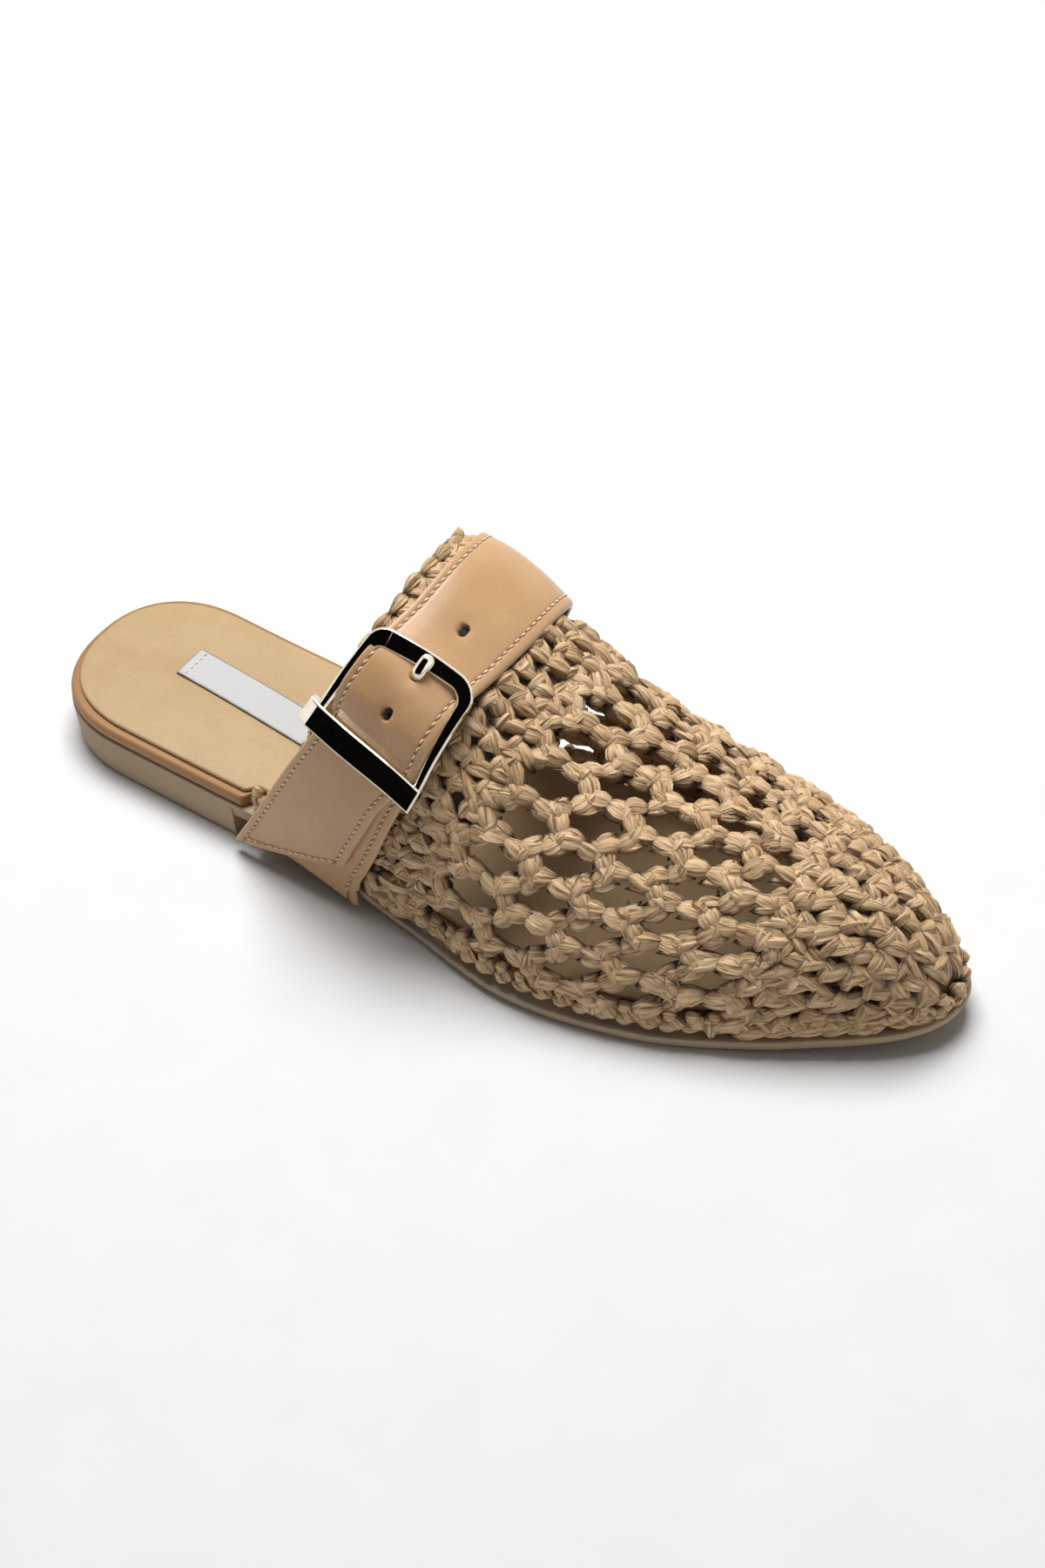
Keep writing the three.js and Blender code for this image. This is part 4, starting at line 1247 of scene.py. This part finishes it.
def angle_of(run):
    return np.interp(run, SCALE_LENGTH, SCALE_ANGLE)


def frame_under(angle):
    return strap_out(angle) + STRAP_THICKNESS + CLEARANCE


KEEPER_AT = run_of((KEEPER_LOW + KEEPER_HIGH) / 2)
TOP_AT = run_of(FRAME_TOP - TOP_BAR / 2)
FRAME_BEND = 0.3  # how much of the strap's own curve the rigid frame follows


def on_frame(across, run, up):
    """Points over the frame's underside, from distances across and along the strap."""
    def under(across, run):
        angle = angle_of(run)
        return on_strap(across / STRAP_WIDTH, angle, frame_under(angle))

    def sheet(across, run):
        share = ((run - KEEPER_AT) / (TOP_AT - KEEPER_AT))[..., None]
        low = under(across, np.full_like(run, KEEPER_AT))
        high = under(across, np.full_like(run, TOP_AT))
        return lerp(lerp(low, high, share), under(across, run), FRAME_BEND)

    across, run, up = floats(across, run, up)
    at = sheet(across, run)
    normal = unit(np.cross(sheet(across, run + 0.5) - at, sheet(across + 0.5, run) - at))
    normal *= np.sign((normal * unit(under(across, run) - at + [0, 0, 1e3])).sum(-1, keepdims=True))
    return at + normal * up[..., None]


def rounded_path(points, radius, arc=10, straight=26):
    """A path through points in the strap's plane, with its inner corners rounded."""
    points = [np.array(p, float) for p in points]
    path = []
    start = points[0]
    for before, corner, after in zip(points, points[1:], points[2:]):
        back, ahead = unit(before - corner), unit(after - corner)
        half = math.acos(float(np.clip(np.dot(back, ahead), -1, 1))) / 2
        cut = radius / math.tan(half)
        a, b = corner + back * cut, corner + ahead * cut
        centre = corner + unit(back + ahead) * radius / math.sin(half)
        path += [lerp(start, a, t) for t in np.linspace(0, 1, straight)[:-1]]
        for t in np.linspace(0, 1, arc):
            spoke = lerp(a - centre, b - centre, t)
            path.append(centre + unit(spoke) * radius)
        start = b
    path += [lerp(start, points[-1], t) for t in np.linspace(0, 1, straight)[1:]]
    return np.array(path)


def make_frame():
    """Top bar and side bars in one sweep with rounded corners, bevelled on both edges."""
    width = STRAP_WIDTH
    low = KEEPER_AT
    rear_top, front_top = (run_of(FRAME_TOP + FRAME_SKEW / 2 * side) for side in (-1, 1))
    rear_mouth, front_mouth = (run_of(FRAME_TOP - TOP_BAR + FRAME_SKEW / 2 * side) for side in (-1, 1))
    past_top, rear_low, front_low = 0.35, 0.9, 1.4  # how far the frame reaches past the strap
    outer = rounded_path(
        [(-rear_low, low), (-past_top, rear_top), (width + past_top, front_top), (width + front_low, low)],
        5.4,
    )
    thick_top, thin = 3.3, 2.1
    inner = rounded_path(
        [(thin - rear_low, low), (thick_top - past_top, rear_mouth),
         (width + past_top - thick_top, front_mouth), (width + front_low - thin, low)],
        2.9,
    )
    bevel, thick = 0.55, FRAME_THICKNESS
    rings = []
    for o, i in zip(outer, inner):
        across = unit(i - o)
        wide = float(np.linalg.norm(i - o))
        profile = [(0, 0.15), (0, thick - bevel), (bevel, thick)]
        far = [(wide - d, h) for d, h in reversed(profile)]
        points = np.array([(*(o + across * d), h) for d, h in [*profile, *far]])
        rings.append(on_frame(points[:, 0], points[:, 1], points[:, 2]))
    piece = loft("buckle_frame_bars", rings, GOLD, 28)
    soften(piece, 0.16)
    return piece


def soften(piece, width):
    """Rounds the sharp edges of a metal piece."""
    bevel = piece.modifiers.new("soften", "BEVEL")
    bevel.width = width * MM
    bevel.segments = 2
    bevel.limit_method = "ANGLE"
    bevel.angle_limit = math.radians(26)
    bevel.harden_normals = True


def make_keeper():
    """The broad bar over the free end, with bevels all round its face."""
    thick, bevel, end_drop = FRAME_THICKNESS + 0.8, 0.45, 0.75
    rear, front = -2.9, STRAP_WIDTH + 1.5
    low, high = run_of(KEEPER_LOW), run_of(KEEPER_HIGH)
    rings = []
    for d, drop in ((0.0, end_drop), (2.3, 0.0), *((d, 0.0) for d in np.linspace(3, front - rear - 2, 20)),
                    (front - rear - bevel, 0.0), (front - rear, bevel)):
        shoulder = thick - max(bevel, drop)
        profile = [(low, 0.0), (low, shoulder), (low + bevel, thick - drop), (high - bevel, thick - drop),
                   (high, shoulder), (high, 0.0)]
        points = np.array(profile)
        rings.append(on_frame(rear + d, points[:, 0], points[:, 1]))
    piece = loft("buckle_keeper_bar", rings, GOLD, 30)
    soften(piece, 0.16)
    return piece


def make_prong():
    """A short stout pin out of the strap's hole and over the top bar, with a domed tip."""
    middle = PRONG_SIDE * STRAP_WIDTH
    mouth, top = run_of(FRAME_TOP - TOP_BAR), run_of(FRAME_TOP)
    rest = FRAME_THICKNESS + 0.3
    knots = [(mouth - 2.9, -1.2), (mouth - 2.9, 0.9), (mouth - 1.6, rest + 0.2),
             (mouth + 1.2, rest + 0.75), (lerp(mouth, top, 0.85), rest + 0.6)]
    knots = np.array([on_frame(middle, run, up) for run, up in knots])
    spans = lengths(knots)
    line = pick(np.linspace(0, spans[-1], 36), spans, knots)
    for _ in range(14):
        line[1:-1] = (line[:-2] + 2 * line[1:-1] + line[2:]) / 4
    tangent = unit(np.gradient(line, axis=0))
    flank = unit(on_frame(middle + 1, mouth, 2) - on_frame(middle, mouth, 2))
    up = unit(np.cross(flank[None], tangent))
    turn = np.linspace(0, 2 * np.pi, 24, endpoint=False)
    half_wide, half_high = 1.75, 0.95
    rings = []
    for k in range(len(line)):
        left = np.linalg.norm(line[-1] - line[k]) / half_wide
        shrink = math.sqrt(max(1 - max(1 - left, 0) ** 2, 0.03))
        side = np.outer(np.cos(turn) * half_wide * shrink, flank)
        rings.append(line[k] + side + np.outer(np.sin(turn) * half_high * shrink, up[k]))
    return loft("buckle_prong_pin", rings, GOLD, 60)


# Stage


def stage_mesh(name, points, faces, material, at=Matrix(), unseen_by=()):
    """A floor, card or dome round the shoe. unseen_by names the rays that pass through it."""
    mesh = bpy.data.meshes.new(name)
    mesh.from_pydata(points, [], faces)
    mesh.materials.append(material)
    thing = bpy.data.objects.new(name, mesh)
    thing.matrix_world = at
    bpy.context.scene.collection.objects.link(thing)
    for rays in unseen_by:
        setattr(thing, "visible_" + rays, False)
    return thing


def rectangle(wide, tall):
    w, t = wide / 2, tall / 2
    return [(-w, -t, 0), (w, -t, 0), (w, t, 0), (-w, t, 0)], [(0, 1, 2, 3)]


def facing(at, target):
    at, target = Vector(at), Vector(target)
    return Matrix.Translation(at) @ (target - at).to_track_quat("-Z", "Y").to_matrix().to_4x4()


CAMERA_AT = (-0.5024, -0.3531, 0.5995)
CAMERA_YAW = 34.324  # degrees from +X
CAMERA_PITCH = -43.069
CAMERA_ROLL = -2.075
LENS = 74.35
SENSOR = 36.0


def make_camera():
    yaw, pitch, roll = (math.radians(v) for v in (CAMERA_YAW, CAMERA_PITCH, CAMERA_ROLL))
    ahead = Vector((math.cos(pitch) * math.cos(yaw), math.cos(pitch) * math.sin(yaw), math.sin(pitch)))
    right = ahead.cross(Vector((0, 0, 1))).normalized()
    up = right.cross(ahead)
    level = Matrix((right, up, -ahead)).transposed()
    data = bpy.data.cameras.new("camera")
    data.lens = LENS
    data.sensor_width = SENSOR
    camera = bpy.data.objects.new("camera", data)
    camera.matrix_world = Matrix.Translation(CAMERA_AT) @ (level @ Matrix.Rotation(roll, 3, "Z")).to_4x4()
    bpy.context.scene.collection.objects.link(camera)
    bpy.context.scene.camera = camera


KEY_AT = (0.3, 0.24, 1.37)
KEY_SIZE = 0.8
KEY_POWER = 25
WORLD_STRENGTH = 0.19
FLOOR_SIZE = 6.0
DOME_RADIUS = 2.8
DOME_STRENGTH = 0.8
CARD_AT = (-1.05, 0.0, 0.7)
CARD_SIZE = (1.4, 1.6)


def make_floor():
    floor = stage_mesh("studio_floor", *rectangle(FLOOR_SIZE, FLOOR_SIZE), floor_material())


def dark_card():
    """A dark card on the outer side: the buckle reflects it, and it keeps the outer side in shade."""
    s = Shader("dark_card", Specular_IOR_Level=0.0)
    grain = s.noise(s.place(), 3.0, 1.0)
    material = s.finish(s.tones(grain, 0x050505, 0x0C0B0A), s.span(grain, 0.9, 1.0))
    unseen_by = ("camera", "shadow", "transmission", "volume_scatter")
    at = facing(CARD_AT, (0, 0, 0))
    card = stage_mesh("dark_card", *rectangle(*CARD_SIZE), material, at, unseen_by)


def bright_dome():
    """A pale dome that only reflections see, for the light edges of the metal."""
    s = Shader("bright_dome", Emission_Strength=DOME_STRENGTH)
    s.finish(s.tones(s.noise(s.place(), 1.0, 1.0), 0xF0F0F0, 0xFFFFFF))
    s.set(s.main, "Emission Color", (1, 1, 1, 1))
    sides, levels = 32, 8
    around = np.linspace(0, 2 * np.pi, sides + 1)[:-1]
    rise = np.linspace(0, np.pi / 2, levels + 1)[:-1]
    around, rise = np.meshgrid(around, rise, indexing="ij")
    points = np.stack([np.cos(around) * np.cos(rise), np.sin(around) * np.cos(rise), np.sin(rise)], -1)
    points = np.concatenate([points.reshape(-1, 3), [[0, 0, 1]]]) * DOME_RADIUS
    faces = []
    for i in range(sides):
        a, b = i * levels, (i + 1) % sides * levels
        faces += [(a + k, b + k, b + k + 1, a + k + 1) for k in range(levels - 1)]
        faces.append((a + levels - 1, b + levels - 1, sides * levels))
    unseen_by = ("camera", "diffuse", "shadow", "transmission", "volume_scatter")
    dome = stage_mesh("bright_dome", points.tolist(), faces, s.material, unseen_by=unseen_by)


def make_lights():
    data = bpy.data.lights.new("key_light", "AREA")
    data.size = KEY_SIZE
    data.energy = KEY_POWER
    light = bpy.data.objects.new("key_light", data)
    light.matrix_world = facing(KEY_AT, (0, 0, 0.03))
    bpy.context.scene.collection.objects.link(light)
    world = bpy.data.worlds.new("studio_world")
    world.use_nodes = True
    background = world.node_tree.nodes["Background"]
    background.inputs["Color"].default_value = (1, 1, 1, 1)
    background.inputs["Strength"].default_value = WORLD_STRENGTH
    bpy.context.scene.world = world
    bpy.context.scene.view_settings.view_transform = "Standard"


make_camera()
make_outsole()
make_band()
make_sock()
make_label()
make_label_thread()
make_backing("raffia_wall_instep", 0.004, NET_EDGE - 0.01)
make_backing("raffia_wall_toe", NET_END + 0.012, 0.998)
make_dense()
make_net()
make_rim()
make_collar()
make_base()
make_strap()
make_strap_thread()
make_frame()
make_keeper()
make_prong()
make_floor()
dark_card()
bright_dome()
make_lights()

REPLACED = {
    "sole_rubber_body": "outsole",
    "wrapped_band": "insole_board",
    "sock_leather_sheet": "sock_lining",
    "label_ribbon": "label",
    "crochet_net_outer": "upper",
    "strap_base_leather": "strap_base",
    "strap_leather_band": "strap",
    "buckle_frame_bars": "buckle_frame",
    "buckle_prong_pin": "buckle_prong",
}
for piece_name, node in REPLACED.items():
    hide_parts(node)
